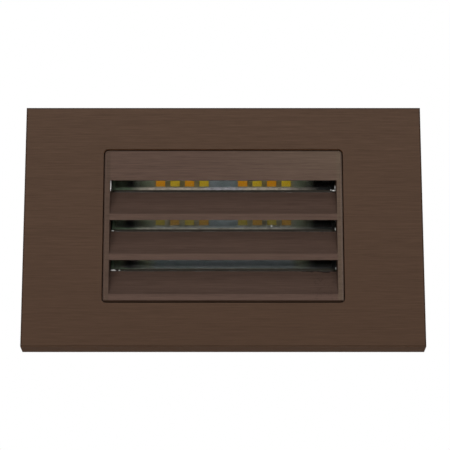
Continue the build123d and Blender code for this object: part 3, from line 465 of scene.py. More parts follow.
def brushed_bronze(name, tone, tones_by_place, streak_depth):
    """Dark bronze in its tones by place, brushed from side to side."""
    material, tree, shader = new_finish(name, tone, BRONZE_ROUGHNESS, BRONZE_METAL)
    shader.inputs["Specular IOR Level"].default_value = BRONZE_SHINE
    shader.inputs["Specular Tint"].default_value = (*BRONZE_GRAZING, 1)
    streaks = grain(tree, STREAKS_PER_METRE, 4.0, 0.6)
    long_streaks = grain(tree, LONG_STREAKS_PER_METRE, 2.0, 0.5, (2, 5, 1))
    both = combine(tree, "ADD", streaks, combine(tree, "MULTIPLY", long_streaks, LONG_STREAKS_WEIGHT))
    streak_light = spread(tree, both, *STREAK_GREYS, 1 - streak_depth, 1 + streak_depth)
    colour = blend_colours(tree, 1.0, tones_by_place(tree), grey_of(tree, streak_light), "MULTIPLY")
    tree.links.new(colour, shader.inputs["Base Color"])
    least, most = BRONZE_ROUGHNESS - BRONZE_SMOOTHER, BRONZE_ROUGHNESS + BRONZE_ROUGHER
    tree.links.new(spread(tree, streaks, *WIDE_GREYS, least, most), shader.inputs["Roughness"])
    relief(tree, shader, streaks, BRONZE_RELIEF, SOFT_EDGE)
    return material


def speckled(name, colour, second, roughness, grain_size, depth, metallic=0.0, edge=SOFT_EDGE):
    """A cast, moulded or coated surface: two close tones in an even grain, with relief to match."""
    material, tree, shader = new_finish(name, colour, roughness, metallic)
    count = 1 / grain_size
    fine = grain(tree, (count,) * 3, 3.0, 0.6)
    broad = grain(tree, (count / FINE_PER_BROAD,) * 3, 2.0, 0.5, SPECKLE_OFFSET)
    share = spread(tree, combine(tree, "ADD", fine, broad), *SPECKLE_GREYS)
    tree.links.new(blend_colours(tree, share, colour, second), shader.inputs["Base Color"])
    least, most = roughness - ROUGHNESS_SWING, roughness + ROUGHNESS_SWING
    tree.links.new(spread(tree, broad, *WIDE_GREYS, least, most), shader.inputs["Roughness"])
    relief(tree, shader, fine, depth, edge)
    return material


def bracket_zinc():
    """Zinc plate with a fine crystal spangle."""
    material, tree, shader = new_finish("zinc", ZINC, 0.34, 1.0)
    spangle = tree.nodes.new("ShaderNodeTexVoronoi")
    spangle.inputs["Scale"].default_value = 1.0
    tree.links.new(pattern_place(tree, ZINC_FLAKES_PER_METRE), spangle.inputs["Vector"])
    clouds = grain(tree, ZINC_CLOUDS_PER_METRE, 2.0, 0.5)
    reach = spread(tree, spangle.outputs["Distance"], *ZINC_FLAKE_REACH)
    tree.links.new(blend_colours(tree, reach, ZINC, ZINC_DARK), shader.inputs["Base Color"])
    tree.links.new(spread(tree, clouds, *WIDE_GREYS, *ZINC_ROUGHNESS), shader.inputs["Roughness"])
    relief(tree, shader, clouds, 0.004 * MM, 0.15 * MM)
    return material


def clear_pane():
    """Glass that lets the lamps' light pass to what lies behind it."""
    material, tree, shader = new_finish("clear_glass", PANE_TINT, PANE_ROUGHNESS)
    shader.inputs["Transmission Weight"].default_value = 1.0
    shader.inputs["IOR"].default_value = GLASS_IOR
    shader.inputs["Specular IOR Level"].default_value = PANE_SHINE
    relief(tree, shader, grain(tree, PANE_WAVES_PER_METRE, 2.0, 0.5), 0.004 * MM)
    pass_light(tree, shader, 1.0)
    return material


def pass_light(tree, shader, share):
    """Let a share of the lamps' light through a clear piece to what lies behind it."""
    rays = tree.nodes.new("ShaderNodeLightPath")
    passing = combine(tree, "MAXIMUM", rays.outputs["Is Shadow Ray"], rays.outputs["Is Diffuse Ray"])
    see_through = tree.nodes.new("ShaderNodeBsdfTransparent")
    see_through.inputs["Color"].default_value = (*PASSING_TINT, 1)
    mixed = tree.nodes.new("ShaderNodeMixShader")
    tree.links.new(combine(tree, "MULTIPLY", passing, share), mixed.inputs[0])
    tree.links.new(shader.outputs[0], mixed.inputs[1])
    tree.links.new(see_through.outputs[0], mixed.inputs[2])
    tree.links.new(mixed.outputs[0], tree.nodes["Material Output"].inputs["Surface"])


def milky_silicone():
    """Half clear milky bead with painted shade lower down, at its green left end, at its right end and low
    in each run.
    """
    material, tree, shader = new_finish("clear_silicone", BEAD_MILK, 0.14)
    shader.inputs["Transmission Weight"].default_value = BEAD_CLARITY
    shader.inputs["IOR"].default_value = SILICONE_IOR
    shader.inputs["Specular IOR Level"].default_value = BEAD_SHINE
    lumps = grain(tree, SILICONE_LUMPS_PER_METRE, 3.0, 0.6)
    milk_and_shade = blend_colours(tree, off_centre(tree, ACROSS, *BEAD_MIDDLE_FADE), BEAD_MILK, BEAD_MILK_MIDDLE)
    for axis, fade, tone in (
        (UPWARDS, BEAD_LOWER_SHADE_FADE, BEAD_LOWER_PAINTED_SHADE), (UPWARDS, BEAD_LOWEST_SHADE_FADE, BEAD_LOWEST_PAINTED_SHADE),
        (ACROSS, BEAD_LEFT_END_FADE, BEAD_LEFT_END_PAINTED_SHADE), (ACROSS, BEAD_RIGHT_END_FADE, BEAD_RIGHT_END_PAINTED_SHADE),
    ):
        milk_and_shade = blend_colours(tree, along(tree, axis, *fade), milk_and_shade, tone)
    patchy = grey_of(tree, spread(tree, lumps, *CLOSE_GREYS, *BEAD_PATCHES))
    milk_and_shade = blend_colours(tree, 1.0, milk_and_shade, patchy, "MULTIPLY")
    lowest, highest = BEAD_LINES[2] - 0.5 * LOUVRE_PITCH, BEAD_LINES[0] + 0.5 * LOUVRE_PITCH
    pitches = combine(tree, "MULTIPLY", along(tree, UPWARDS, lowest, highest), len(BEAD_LINES))
    shade = spread(tree, combine(tree, "FRACT", pitches, 0), *BEAD_SHADE_STEP)
    tree.links.new(blend_colours(tree, shade, milk_and_shade, BEAD_SHADE), shader.inputs["Base Color"])
    relief(tree, shader, lumps, 0.02 * MM)
    pass_light(tree, shader, BEAD_PASSES)
    return material


def wet_silicone():
    """Milky silicone with a wet skin that mirrors the lamps."""
    material, tree, shader = new_finish("silicone_drop", DROP_WHITE, 0.07)
    shader.inputs["Specular IOR Level"].default_value = 1.0
    shader.inputs["Coat Weight"].default_value = 1.0
    shader.inputs["Coat Roughness"].default_value = 0.03
    clouds = grain(tree, DROP_CLOUDS_PER_METRE, 2.0, 0.5)
    tree.links.new(blend_colours(tree, clouds, DROP_WHITE, DROP_GREY), shader.inputs["Base Color"])
    relief(tree, shader, clouds, 0.01 * MM)
    return material


def cast_box():
    """Dark powder coat over a cast skin, with near-black painted shade inside the front of the box, and
    painted light on that lining at its left end and beside the board.
    """
    material, tree, shader = new_finish("cast_housing", CAST_COAT, 0.5)
    fine = grain(tree, CAST_FINE_PER_METRE, 3.0, 0.6)
    broad = grain(tree, CAST_BROAD_PER_METRE, 2.0, 0.5, SPECKLE_OFFSET)
    speckles = spread(tree, combine(tree, "ADD", fine, broad), *SPECKLE_GREYS)
    coat = blend_colours(tree, speckles, CAST_COAT, CAST_COAT_DARK)
    past_side = off_centre(tree, ACROSS, *CAST_SIDE_FADE)
    outside = combine(tree, "MAXIMUM", past_side, off_centre(tree, UPWARDS, *CAST_TOP_FADE))
    inside = combine(tree, "SUBTRACT", along(tree, INWARDS, *CAST_FRONT_FADE), outside)
    inside = spread(tree, inside, 0, 1)
    left_end = along(tree, ACROSS, *CAST_LEFT_END_FADE)
    painted_lining = blend_colours(tree, left_end, CAST_INSIDE_PAINTED_SHADE, CAST_LEFT_END_PAINTED_LIGHT)
    rise = along(tree, UPWARDS, *CAST_BY_BOARD_RISE_FADE)
    beside = combine(tree, "MULTIPLY", off_centre(tree, ACROSS, *CAST_BY_BOARD_FADE), rise)
    painted_lining = blend_colours(tree, beside, painted_lining, CAST_BY_BOARD_PAINTED_LIGHT)
    tree.links.new(blend_colours(tree, inside, coat, painted_lining), shader.inputs["Base Color"])
    rough = combine(tree, "MAXIMUM", spread(tree, broad, *WIDE_GREYS, *CAST_ROUGHNESS), inside)
    tree.links.new(rough, shader.inputs["Roughness"])
    relief(tree, shader, fine, CAST_RELIEF, SOFT_EDGE)
    return material


def board_paint():
    """Solder mask, white in the middle, with a painted glow round the rows of lamps, and painted shade
    towards the ends, low in the gaps and darker low down.
    """
    material, tree, shader = new_finish("board_white", BOARD_WHITE, 0.4)
    clouds = grain(tree, BOARD_CLOUDS_PER_METRE, 3.0, 0.6)
    toned = blend_colours(tree, spread(tree, clouds, *CLOSE_GREYS), BOARD_WHITE, BOARD_GREY)
    toned = blend_colours(tree, off_centre(tree, ACROSS, *BOARD_END_FADE), toned, BOARD_END_PAINTED_SHADE)
    wavering = spread(tree, clouds, *WIDE_GREYS, *BOARD_DARK_SHADE_WAVER)
    end_shade = combine(tree, "ADD", off_centre(tree, ACROSS, *BOARD_DARK_SHADE_FADE), wavering)
    toned = blend_colours(tree, spread(tree, end_shade, *BOARD_DARK_SHADE_STEP), toned, BOARD_DARK_PAINTED_SHADE)
    past_middle = off_centre(tree, ACROSS, *GLOW_INNER_FADE)
    beside_lamps = combine(tree, "SUBTRACT", past_middle, off_centre(tree, ACROSS, *GLOW_OUTER_FADE))
    for height, strength in GLOW_ROWS:
        from_above = along(tree, UPWARDS, height + GLOW_REACH[0], height + GLOW_REACH[1])
        from_below = along(tree, UPWARDS, height - GLOW_REACH[0], height - GLOW_REACH[1])
        row = combine(tree, "MULTIPLY", combine(tree, "MULTIPLY", from_above, from_below), beside_lamps)
        toned = blend_colours(tree, combine(tree, "MULTIPLY", row, strength), toned, BOARD_GLOW)
    for foot, clear, strength in BOARD_FOOT_SHADES:
        from_foot = along(tree, UPWARDS, foot - BOARD_FOOT_SHADE_RISE[0], foot - BOARD_FOOT_SHADE_RISE[1])
        foot_shade = combine(tree, "MULTIPLY", along(tree, UPWARDS, clear, foot), from_foot)
        toned = blend_colours(tree, combine(tree, "MULTIPLY", foot_shade, strength), toned, BOARD_DARK_PAINTED_SHADE)
    shaded = spread(tree, along(tree, UPWARDS, *BOARD_SHADE_FADE), 0, 1, *BOARD_SHADE)
    colour = blend_colours(tree, 1.0, toned, grey_of(tree, shaded), "MULTIPLY")
    tree.links.new(colour, shader.inputs["Base Color"])
    relief(tree, shader, clouds, 0.006 * MM, 0.1 * MM)
    return material


def phosphor(name, colour, second, painted_glow):
    """Coloured lamp resin with a grainy fill, a faint painted glow, and painted shade on the lower row."""
    material, tree, shader = new_finish(name, colour, 0.35)
    fine = grain(tree, LAMP_GRAINS_PER_METRE, 2.0, 0.6)
    toned = blend_colours(tree, spread(tree, fine, *CLOSE_GREYS), colour, second)
    lower_row = along(tree, UPWARDS, UPPER_ROW_Z, LOWER_ROW_Z)
    toned = blend_colours(tree, combine(tree, "MULTIPLY", lower_row, LOWER_ROW_SHADE_SHARE), toned, LOWER_ROW_PAINTED_SHADE)
    tree.links.new(toned, shader.inputs["Base Color"])
    tree.links.new(toned, shader.inputs["Emission Color"])
    shader.inputs["Emission Strength"].default_value = painted_glow
    relief(tree, shader, fine, 0.01 * MM)
    return material


FINISHES = {
    "bronze_plate": brushed_bronze("bronze_plate", PLATE_BRONZE, plate_tones, PLATE_STREAK_DEPTH),
    "bronze_insert": brushed_bronze("bronze_insert", INSERT_BRONZE, insert_tones, INSERT_STREAK_DEPTH),
    "zinc": bracket_zinc(),
    "clear_silicone": milky_silicone(),
    "silicone_drop": wet_silicone(),
    "clear_glass": clear_pane(),
    "board_white": board_paint(),
    # the last number of each lamp resin is its painted glow
    "led_warm": phosphor("led_warm", (0.98, 0.42, 0.015), (0.88, 0.34, 0.012), 0.225),
    "led_cool": phosphor("led_cool", (0.86, 0.58, 0.035), (0.78, 0.51, 0.03), 0.215),
    "cast_housing": cast_box(),
    "foam": speckled(
        "foam", (0.035, 0.035, 0.037), (0.015, 0.015, 0.016), 0.92, 0.45 * MM, 0.12 * MM, edge=0.3 * MM
    ),
}

PLAIN_FINISHES = (
    # name, two close tones, roughness, grain and relief in millimetres, share of metal
    ("spring_steel", (0.42, 0.41, 0.39), (0.34, 0.33, 0.32), 0.28, 0.5, 0.004, 1.0),
    ("screw_steel", (0.52, 0.52, 0.51), (0.42, 0.42, 0.42), 0.3, 0.3, 0.004, 1.0),
    ("dark_screw", (0.05, 0.045, 0.04), (0.035, 0.03, 0.028), 0.4, 0.3, 0.004, 0.9),
    ("earth_green", (0.03, 0.22, 0.07), (0.025, 0.17, 0.05), 0.38, 0.3, 0.004, 0.6),
    ("grey_silicone", (0.16, 0.16, 0.16), (0.12, 0.12, 0.12), 0.6, 0.5, 0.01, 0.0),
    ("lamp_case", (0.52, 0.50, 0.40), (0.44, 0.43, 0.34), 0.45, 0.4, 0.004, 0.0),
    ("thermal_grey", (0.32, 0.34, 0.38), (0.27, 0.29, 0.33), 0.8, 0.4, 0.01, 0.0),
    ("film", (0.62, 0.58, 0.44), (0.56, 0.52, 0.40), 0.25, 2.0, 0.004, 0.0),
    ("board_green", (0.02, 0.15, 0.06), (0.015, 0.11, 0.04), 0.35, 0.8, 0.01, 0.0),
    ("ferrite", (0.045, 0.045, 0.05), (0.03, 0.03, 0.033), 0.55, 0.3, 0.01, 0.0),
    ("can_sleeve", (0.03, 0.05, 0.12), (0.025, 0.04, 0.1), 0.35, 1.0, 0.004, 0.0),
    ("chip_black", (0.022, 0.022, 0.024), (0.015, 0.015, 0.017), 0.55, 0.15, 0.01, 0.0),
    ("fuse_case", (0.55, 0.50, 0.38), (0.48, 0.43, 0.32), 0.45, 0.4, 0.006, 0.0),
    ("varistor_blue", (0.03, 0.10, 0.34), (0.02, 0.08, 0.28), 0.4, 0.6, 0.02, 0.0),
    ("pin_gold", (0.80, 0.58, 0.24), (0.70, 0.50, 0.20), 0.28, 0.3, 0.002, 1.0),
    ("header_black", (0.02, 0.02, 0.02), (0.014, 0.014, 0.014), 0.5, 0.3, 0.006, 0.0),
    ("grommet_rubber", (0.02, 0.02, 0.021), (0.013, 0.013, 0.014), 0.62, 0.5, 0.012, 0.0),
    ("switch_case", (0.022, 0.022, 0.024), (0.016, 0.016, 0.018), 0.5, 0.3, 0.008, 0.0),
    ("switch_knob", (0.72, 0.71, 0.68), (0.64, 0.63, 0.60), 0.4, 0.4, 0.006, 0.0),
)
for finish_name, tone, second_tone, roughness, grain_mm, relief_mm, metal in PLAIN_FINISHES:
    FINISHES[finish_name] = speckled(
        finish_name, tone, second_tone, roughness, grain_mm * MM, relief_mm * MM, metal
    )

NODE_FINISH = {
    "faceplate": "bronze_plate", "louver_grille": "bronze_insert", "mounting_yoke": "zinc",
    "faceplate_springs": "spring_steel", "wall_gasket": "foam", "yoke_screws": "screw_steel",
    "lens_seal": "clear_silicone", "lens": "clear_glass", "grille_gasket": "grey_silicone",
    "led_board": "board_white", "warm_leds": "led_warm", "cool_leds": "led_cool",
    "led_board_screws": "screw_steel", "thermal_pad": "thermal_grey", "housing": "cast_housing",
    "driver_insulator": "film", "driver_board": "board_green", "driver_board_screws": "screw_steel",
    "driver_transformer": "ferrite", "driver_capacitors": "can_sleeve", "driver_chips": "chip_black",
    "input_fuse": "fuse_case", "surge_varistor": "varistor_blue", "link_pins": "pin_gold",
    "link_header": "header_black", "rear_gasket": "grey_silicone", "rear_cover": "cast_housing",
    "case_screws": "dark_screw", "earth_screw": "earth_green", "wire_grommet": "grommet_rubber",
    "cct_switch_body": "switch_case", "cct_switch_slider": "switch_knob", "cct_switch_screws": "screw_steel",
}


def dress(piece, finish):
    """Give every slot of a piece one finish."""
    piece.data.materials.clear()
    piece.data.materials.append(FINISHES[finish])


for node_name, finish_name in NODE_FINISH.items():
    dress(frame["nodes"][node_name], finish_name)


# ================= shaping =================
SHARP_ANGLE = math.radians(35)
WELD = 0.001 * MM
SCREW_SEGMENTS = 20
THREAD_LENGTH = 6.0 * MM
THREAD_END = 0.6 * MM
# shares of the thread's radius
THREAD_ROOT = 0.8
THREAD_PITCH = 0.55
PLAIN_SHANK = 0.92
# where a thread's crest starts and ends, as shares of its pitch
THREAD_CREST = (0.4, 0.6)
WASHER_T = 0.8 * MM
WASHER_EDGE = 0.1 * MM
CROWN_H = 0.25 * MM
# the cross: reach as a share of the head's radius, depth of its height, and how far its floor draws in
CROSS_REACH = 0.45
CROSS_DEPTH = 0.42
CROSS_FLOOR = 0.72
# each screw has stopped at an angle of its own, in degrees
FIRST_STOP, NEXT_STOP = 11, 37
# shares of a round head's radius and height, from its seat up
PAN_HEAD = ((0.97, 0.0), (1.0, 0.06), (1.0, 0.45), (0.93, 0.74), (0.78, 0.93), (0.64, 1.0))


def add_piece(name, shape, body, finishes):
    """Make a finished shape a piece that rides on a body, flat where its faces meet sharply."""
    bmesh.ops.recalc_face_normals(shape, faces=shape.faces)
    mesh = bpy.data.meshes.new(name)
    shape.to_mesh(mesh)
    shape.free()
    mesh.polygons.foreach_set("use_smooth", [True] * len(mesh.polygons))
    mesh.set_sharp_from_angle(angle=SHARP_ANGLE)
    for finish in finishes:
        mesh.materials.append(FINISHES[finish])
    piece = bpy.data.objects.new(name, mesh)
    bpy.context.scene.collection.objects.link(piece)
    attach(piece, body)
    return piece


def solids_of(node):
    """Lowest and highest corner of every separate solid in a node."""
    shape = bmesh.new()
    shape.from_mesh(frame["nodes"][node].data)
    bmesh.ops.remove_doubles(shape, verts=shape.verts, dist=WELD)
    waiting, boxes = set(shape.verts), []
    while waiting:
        reached, front = set(), [waiting.pop()]
        while front:
            corner = front.pop()
            reached.add(corner)
            for edge in corner.link_edges:
                other = edge.other_vert(corner)
                if other in waiting:
                    waiting.discard(other)
                    front.append(other)
        places = [corner.co for corner in reached]
        low = Vector(min(place[axis] for place in places) for axis in range(3))
        high = Vector(max(place[axis] for place in places) for axis in range(3))
        boxes.append((low, high))
    shape.free()
    return sorted(boxes, key=lambda box: (round(-box[0].z / MM), round(box[0].x / MM)))


def next_ring(shape, loop, radius, new_radius, rise):
    """Pull a loop of edges up into the next ring of a turned shape."""
    made = bmesh.ops.extrude_edge_only(shape, edges=loop)["geom"]
    corners = [part for part in made if isinstance(part, bmesh.types.BMVert)]
    share = new_radius / radius
    bmesh.ops.scale(shape, verts=corners, vec=(share, share, 1))
    bmesh.ops.translate(shape, verts=corners, vec=(0, 0, rise))
    kept = set(corners)
    return [
        part for part in made
        if isinstance(part, bmesh.types.BMEdge) and part.verts[0] in kept and part.verts[1] in kept
    ]


def flat_circle(shape, segments, radius, height):
    """Edges of a new level circle, in order round it."""
    circle = bmesh.ops.create_circle(shape, cap_ends=False, segments=segments, radius=radius)
    bmesh.ops.translate(shape, verts=circle["verts"], vec=(0, 0, height))
    return list(dict.fromkeys(edge for corner in circle["verts"] for edge in corner.link_edges))


def turn_profile(shape, profile, segments):
    """Turned surface up the Z axis through rings of (radius, height), open at both ends."""
    radius, height = profile[0]
    first = loop = flat_circle(shape, segments, radius, height)
    for new_radius, new_height in profile[1:]:
        loop = next_ring(shape, loop, radius, new_radius, new_height - height)
        radius, height = new_radius, new_height
    return first, loop


def cross_recess(shape, rim, reach, top, depth):
    """Close a head's top round a sunk cross."""
    grid = bmesh.ops.create_grid(shape, x_segments=3, y_segments=3, size=reach)
    bmesh.ops.translate(shape, verts=grid["verts"], vec=(0, 0, top))
    cells = list(dict.fromkeys(face for corner in grid["verts"] for face in corner.link_faces))
    centres = [cell.calc_center_median() for cell in cells]
    corners = [cell for cell, at in zip(cells, centres) if min(abs(at.x), abs(at.y)) > reach / 3]
    bmesh.ops.delete(shape, geom=corners, context="FACES")
    arms = [cell for cell in cells if cell.is_valid]
    cross = bmesh.ops.dissolve_faces(shape, faces=arms)["region"][0]
    outline = list(cross.edges)
    bmesh.ops.delete(shape, geom=[cross], context="FACES_ONLY")
    bmesh.ops.triangle_fill(shape, use_beauty=True, edges=rim + outline, normal=(0, 0, 1))
    floor = next_ring(shape, outline, 1.0, CROSS_FLOOR, -depth)
    bmesh.ops.contextual_create(shape, geom=floor)


def thread_rings(thread_r, length):
    """Rings of a screw's tip and thread, and the height at which the thread ends."""
    root_r, pitch = THREAD_ROOT * thread_r, THREAD_PITCH * thread_r
    turns = int(min(length - THREAD_END, THREAD_LENGTH) / pitch)
    height = -length + 0.5 * pitch
    rings = [(0.5 * root_r, -length), (root_r, height)]
    for _ in range(turns):
        rings += [(thread_r, height + share * pitch) for share in THREAD_CREST]
        rings.append((root_r, height + pitch))
        height += pitch
    return rings, height


def head_rings(head, head_r, head_t):
    """Rings of a screw's head from its underside up; the hexagon's stop at the top of its washer."""
    if head == "flat":
        return [(0.97 * head_r, -0.08 * MM), (head_r, -0.04 * MM), (0.985 * head_r, 0.0)]
    if head == "pan":
        return [(width * head_r, rise * head_t) for width, rise in PAN_HEAD]
    edge = [(0.97 * head_r, 0.0), (head_r, WASHER_EDGE), (head_r, WASHER_T - WASHER_EDGE)]
    return edge + [(0.97 * head_r, WASHER_T), (0.84 * head_r, WASHER_T)]


def screw_shape(size, head, length):
    """One screw along Z, its head's seat at 0: turned head with a sunk cross, shank and thread."""
    thread_r, head_r, head_t = size
    profile, thread_end = thread_rings(thread_r, length)
    underside, top = (-head_t, 0.0) if head == "flat" else (0.0, head_t)
    plain_r = PLAIN_SHANK * thread_r
    profile += [(plain_r, min(thread_end + 0.1 * MM, underside - 0.02 * MM)), (plain_r, underside)]
    profile += head_rings(head, head_r, head_t)
    shape = bmesh.new()
    first, rim = turn_profile(shape, profile, SCREW_SEGMENTS)
    bmesh.ops.contextual_create(shape, geom=first)
    if head == "hex":
        rim = hexagon_head(shape, rim, 0.95 * head_r, top)
    cross_recess(shape, rim, CROSS_REACH * head_r, top, CROSS_DEPTH * head_t)
    bmesh.ops.recalc_face_normals(shape, faces=shape.faces)
    return shape


def hexagon_head(shape, rim, corner_r, top):
    """Carry a washer's round rim up into a six-sided head with a drawn-in crown."""
    sides = flat_circle(shape, 6, corner_r, WASHER_T)
    bmesh.ops.bridge_loops(shape, edges=rim + sides)
    sides = next_ring(shape, sides, corner_r, corner_r, top - WASHER_T - CROWN_H)
    return next_ring(shape, sides, corner_r, 0.86 * corner_r, CROWN_H)


def screw_set(name, node, size, head, towards_room, finish):
    """Screws in place of a node's plain ones, each where its solid lies."""
    gathered = bmesh.new()
    for index, (low, high) in enumerate(solids_of(node)):
        head_out = 0 if head == "flat" else size[2]
        shape = screw_shape(size, head, high.y - low.y - head_out)
        seat = low.y + head_out if towards_room else high.y - head_out
        turn = Matrix.Rotation(math.radians(90 if towards_room else -90), 4, "X")
        own_turn = Matrix.Rotation(math.radians(NEXT_STOP * index + FIRST_STOP), 4, "Z")
        place = Matrix.Translation(((low.x + high.x) / 2, seat, (low.z + high.z) / 2))
        bmesh.ops.transform(shape, matrix=place @ turn @ own_turn, verts=shape.verts)
        join(gathered, shape)
    piece = add_piece(name, gathered, carrier(node), [finish])
    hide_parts(node)


def join(gathered, shape):
    """Add a shape to the ones gathered so far."""
    mesh = bpy.data.meshes.new("part_of_piece")
    shape.to_mesh(mesh)
    shape.free()
    gathered.from_mesh(mesh)
    bpy.data.meshes.remove(mesh)


def carrier(node):
    """The body that a node rides on."""
    bodies = frame["record"]["behaviour"]["bodies"]
    return next(body for body, nodes in bodies.items() if node in nodes)


# ================= screws =================
# thread radius, head radius and head height of each kind
CASE_SCREW = (1.25 * MM, 2.2 * MM, 1.7 * MM)
SMALL_SCREW = (1.25 * MM, 2.1 * MM, 1.2 * MM)
FLAT_SCREW = (1.25 * MM, 2.3 * MM, 1.05 * MM)
TINY_SCREW = (0.8 * MM, 1.5 * MM, 0.9 * MM)
EARTH_SCREW = (1.9 * MM, 3.4 * MM, 2.4 * MM)

SCREWS = (
    # piece, node, size, head, faces the room, finish
    ("case_screws_cross", "case_screws", CASE_SCREW, "pan", False, "dark_screw"),
    ("yoke_screws_cross", "yoke_screws", FLAT_SCREW, "flat", True, "screw_steel"),
    ("board_screws_cross", "led_board_screws", SMALL_SCREW, "pan", True, "screw_steel"),
    ("driver_screws_cross", "driver_board_screws", TINY_SCREW, "pan", False, "screw_steel"),
    ("switch_screws_cross", "cct_switch_screws", TINY_SCREW, "pan", False, "screw_steel"),
    ("earth_screw_hex", "earth_screw", EARTH_SCREW, "hex", False, "earth_green"),
)
for screws in SCREWS:
    screw_set(*screws)


# ================= clear silicone round the lens =================
DROP_UNEVENNESS = 0.25
DROP_WAVE = 0.5 * MM
DROPS = (
    # place across, in and up; width, depth and height; all in millimetres
    (-33.40, -6.3, 12.70, 0.50, 0.7, 3.5),
    (33.00, 0.1, 12.95, 1.1, 0.8, 0.5),
    (33.35, -0.9, 13.60, 0.35, 0.8, 1.3),
    (32.20, 0.7, 13.30, 0.5, 0.6, 0.3),
    (-32.90, 0.1, 0.45, 0.9, 0.9, 0.40),
    (33.30, -0.4, 0.80, 0.35, 0.8, 0.9),
    (-32.55, 0.1, -11.75, 1.7, 1.0, 0.55),
    (-30.80, 0.4, -11.60, 0.5, 0.6, 0.25),
    (14.35, 0.85, 2.15, 0.62, 0.7, 0.75),
    (33.30, 0.0, -11.20, 0.25, 0.8, 0.8),
)


def long_edges(bar, axis, reach):
    """Edges that run most of the way along a bar."""
    return [edge for edge in bar.edges if abs((edge.verts[0].co - edge.verts[1].co)[axis]) > reach / 2]


def bead_bar(low, high, axis):
    """One run of silicone, its long edges rounded and its surface a little wavy."""
    middle, size = (low + high) / 2, high - low
    bar = bmesh.new()
    bmesh.ops.create_cube(bar, size=1.0)
    bmesh.ops.scale(bar, verts=bar.verts, vec=size)
    bmesh.ops.bevel(
        bar, geom=long_edges(bar, axis, size[axis]), offset=BEAD_ROUNDING * size.y, segments=3, profile=0.5,
        affect="EDGES", material=-1,
    )
    cuts = int(size[axis] / (BEAD_CUT * BEAD_W))
    bmesh.ops.subdivide_edges(bar, edges=long_edges(bar, axis, size[axis]), cuts=cuts, use_grid_fill=True)
    bmesh.ops.translate(bar, verts=bar.verts, vec=middle)
    sideways = UPWARDS if axis == ACROSS else ACROSS
    for corner in bar.verts:
        wave = noise.noise(corner.co / BROAD_WAVE + SEED) + 0.5 * noise.noise(corner.co / FINE_WAVE + SEED)
        corner.co[sideways] += BEAD_RIPPLE * min(max(wave, -1), 0.9)
    return bar


def make_silicone_bead():
    """Squeezed-out bead: a frame round the lens and a run along every slat's back."""
    low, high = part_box("lens_seal")
    low, high = Vector(low), Vector(high)
    left, right = low.x + BEAD_RIPPLE, high.x - BEAD_RIPPLE
    foot, top = low.z + BEAD_RIPPLE, high.z - BEAD_RIPPLE
    runs = [(line - BEAD_W, line + rise) for line, rise in zip(BEAD_LINES, BEAD_RISES)]
    runs += [(foot, foot + BEAD_W), (top - BEAD_W, top)]
    shape = bmesh.new()
    for run_foot, run_top in runs:
        join(shape, bead_bar(Vector((left, low.y, run_foot)), Vector((right, high.y, run_top)), ACROSS))
    for x in (left, right - BEAD_W):
        join(shape, bead_bar(Vector((x, low.y, foot)), Vector((x + BEAD_W, high.y, top)), UPWARDS))
    bead = add_piece("silicone_bead", shape, "fixture", ["clear_silicone"])
    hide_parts("lens_seal")


def make_silicone_drops():
    """Drops that the lens squeezed out at the ends of the slats, where they catch the light."""
    shape = bmesh.new()
    for x, y, z, width, depth, height in DROPS:
        drop = bmesh.new()
        bmesh.ops.create_icosphere(drop, subdivisions=3, radius=0.5)
        bmesh.ops.scale(drop, verts=drop.verts, vec=(width * MM, depth * MM, height * MM))
        for corner in drop.verts:
            corner.co *= 1 + DROP_UNEVENNESS * noise.noise(corner.co / DROP_WAVE + SEED * x)
        bmesh.ops.translate(drop, verts=drop.verts, vec=Vector((x, y, z)) * MM)
        join(shape, drop)
    add_piece("silicone_drops", shape, "fixture", ["silicone_drop"])


# ================= lamp packages =================
LAMP_RIM = 0.07 * MM
LAMP_BEVEL = 0.05 * MM
LAMP_WELL = 0.07 * MM


def make_lamps_of(name, node, resin):
    """Packages of one colour: a bevelled pale case round a sunk well of tinted resin."""
    shape = bmesh.new()
    for low, high in solids_of(node):
        package = bmesh.new()
        made = bmesh.ops.create_cube(package, size=1.0)
        bmesh.ops.scale(package, verts=made["verts"], vec=high - low)
        bmesh.ops.bevel(
            package, geom=package.edges[:], offset=LAMP_BEVEL, segments=2, profile=0.5,
            affect="EDGES", material=-1,
        )
        face = max(package.faces, key=lambda side: -side.normal.y * side.calc_area())
        bmesh.ops.inset_region(package, faces=[face], thickness=LAMP_RIM - LAMP_BEVEL, depth=0)
        bmesh.ops.inset_region(package, faces=[face], thickness=0.5 * LAMP_WELL, depth=-LAMP_WELL)
        face.material_index = 1
        bmesh.ops.translate(package, verts=package.verts, vec=(low + high) / 2)
        join(shape, package)
    lamps = add_piece(name, shape, "fixture", ["lamp_case", resin])
    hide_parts(node)


make_silicone_bead()
make_silicone_drops()
make_lamps_of("warm_lamp_packages", "warm_leds", "led_warm")
make_lamps_of("cool_lamp_packages", "cool_leds", "led_cool")


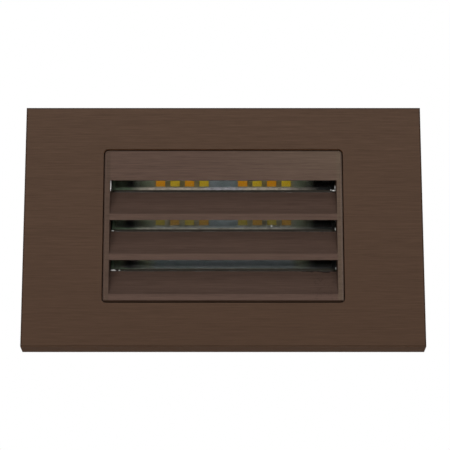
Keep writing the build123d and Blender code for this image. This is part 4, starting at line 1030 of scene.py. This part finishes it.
# ================= studio =================
def make_sky():
    """White wherever the camera, metal or glass looks past the part; softer as plain light."""
    world = bpy.data.worlds.new("studio_sky")
    world.use_nodes = True
    bpy.context.scene.world = world
    tree = world.node_tree
    rays = tree.nodes.new("ShaderNodeLightPath")
    seen = combine(tree, "MAXIMUM", rays.outputs["Is Camera Ray"], rays.outputs["Is Glossy Ray"])
    seen = combine(tree, "MAXIMUM", seen, rays.outputs["Is Transmission Ray"])
    strength = spread(tree, seen, 0, 1, SKY_LIGHT, 1.0)
    tree.links.new(strength, tree.nodes["Background"].inputs["Strength"])
    tree.nodes["Background"].inputs["Color"].default_value = (1, 1, 1, 1)


def make_floor():
    """Pale floor well below the part, which shows in the other views."""
    shape = bmesh.new()
    bmesh.ops.create_grid(shape, x_segments=1, y_segments=1, size=FLOOR_SIZE / 2)
    bmesh.ops.translate(shape, verts=shape.verts, vec=(0, 0, FLOOR_Z))
    mesh = bpy.data.meshes.new("floor")
    shape.to_mesh(mesh)
    shape.free()
    floor = bpy.data.objects.new("floor", mesh)
    bpy.context.scene.collection.objects.link(floor)
    second = tuple(FLOOR_SECOND_SHARE * channel for channel in FLOOR_COLOUR)
    mesh.materials.append(
        speckled("floor_paint", FLOOR_COLOUR, second, FLOOR_ROUGHNESS, FLOOR_GRAIN, FLOOR_RELIEF, edge=0)
    )


def make_studio_lamps():
    """Soft lamps round the part, each turned towards it."""
    for name, place, (width, height), watts in STUDIO_LAMPS:
        lamp = bpy.data.lights.new(name, "AREA")
        lamp.shape = "RECTANGLE"
        lamp.size, lamp.size_y = width, height
        lamp.energy = watts
        holder = bpy.data.objects.new(name, lamp)
        holder.location = place
        holder.rotation_euler = (-Vector(place)).to_track_quat("-Z", "Y").to_euler()
        bpy.context.scene.collection.objects.link(holder)


def make_camera():
    """The photograph's camera: in front of the part and a little below it, looking up at it."""
    data = bpy.data.cameras.new("photo_camera")
    data.lens = CAMERA_LENS
    data.sensor_width = SENSOR
    data.clip_start = CAMERA_CLIP
    camera = bpy.data.objects.new("photo_camera", data)
    camera.location = CAMERA_AT
    camera.rotation_euler = (CAMERA_PITCH, 0, 0)
    bpy.context.scene.collection.objects.link(camera)
    bpy.context.scene.camera = camera


make_sky()
make_floor()
make_studio_lamps()
make_camera()
bpy.context.scene.view_settings.view_transform = "Standard"
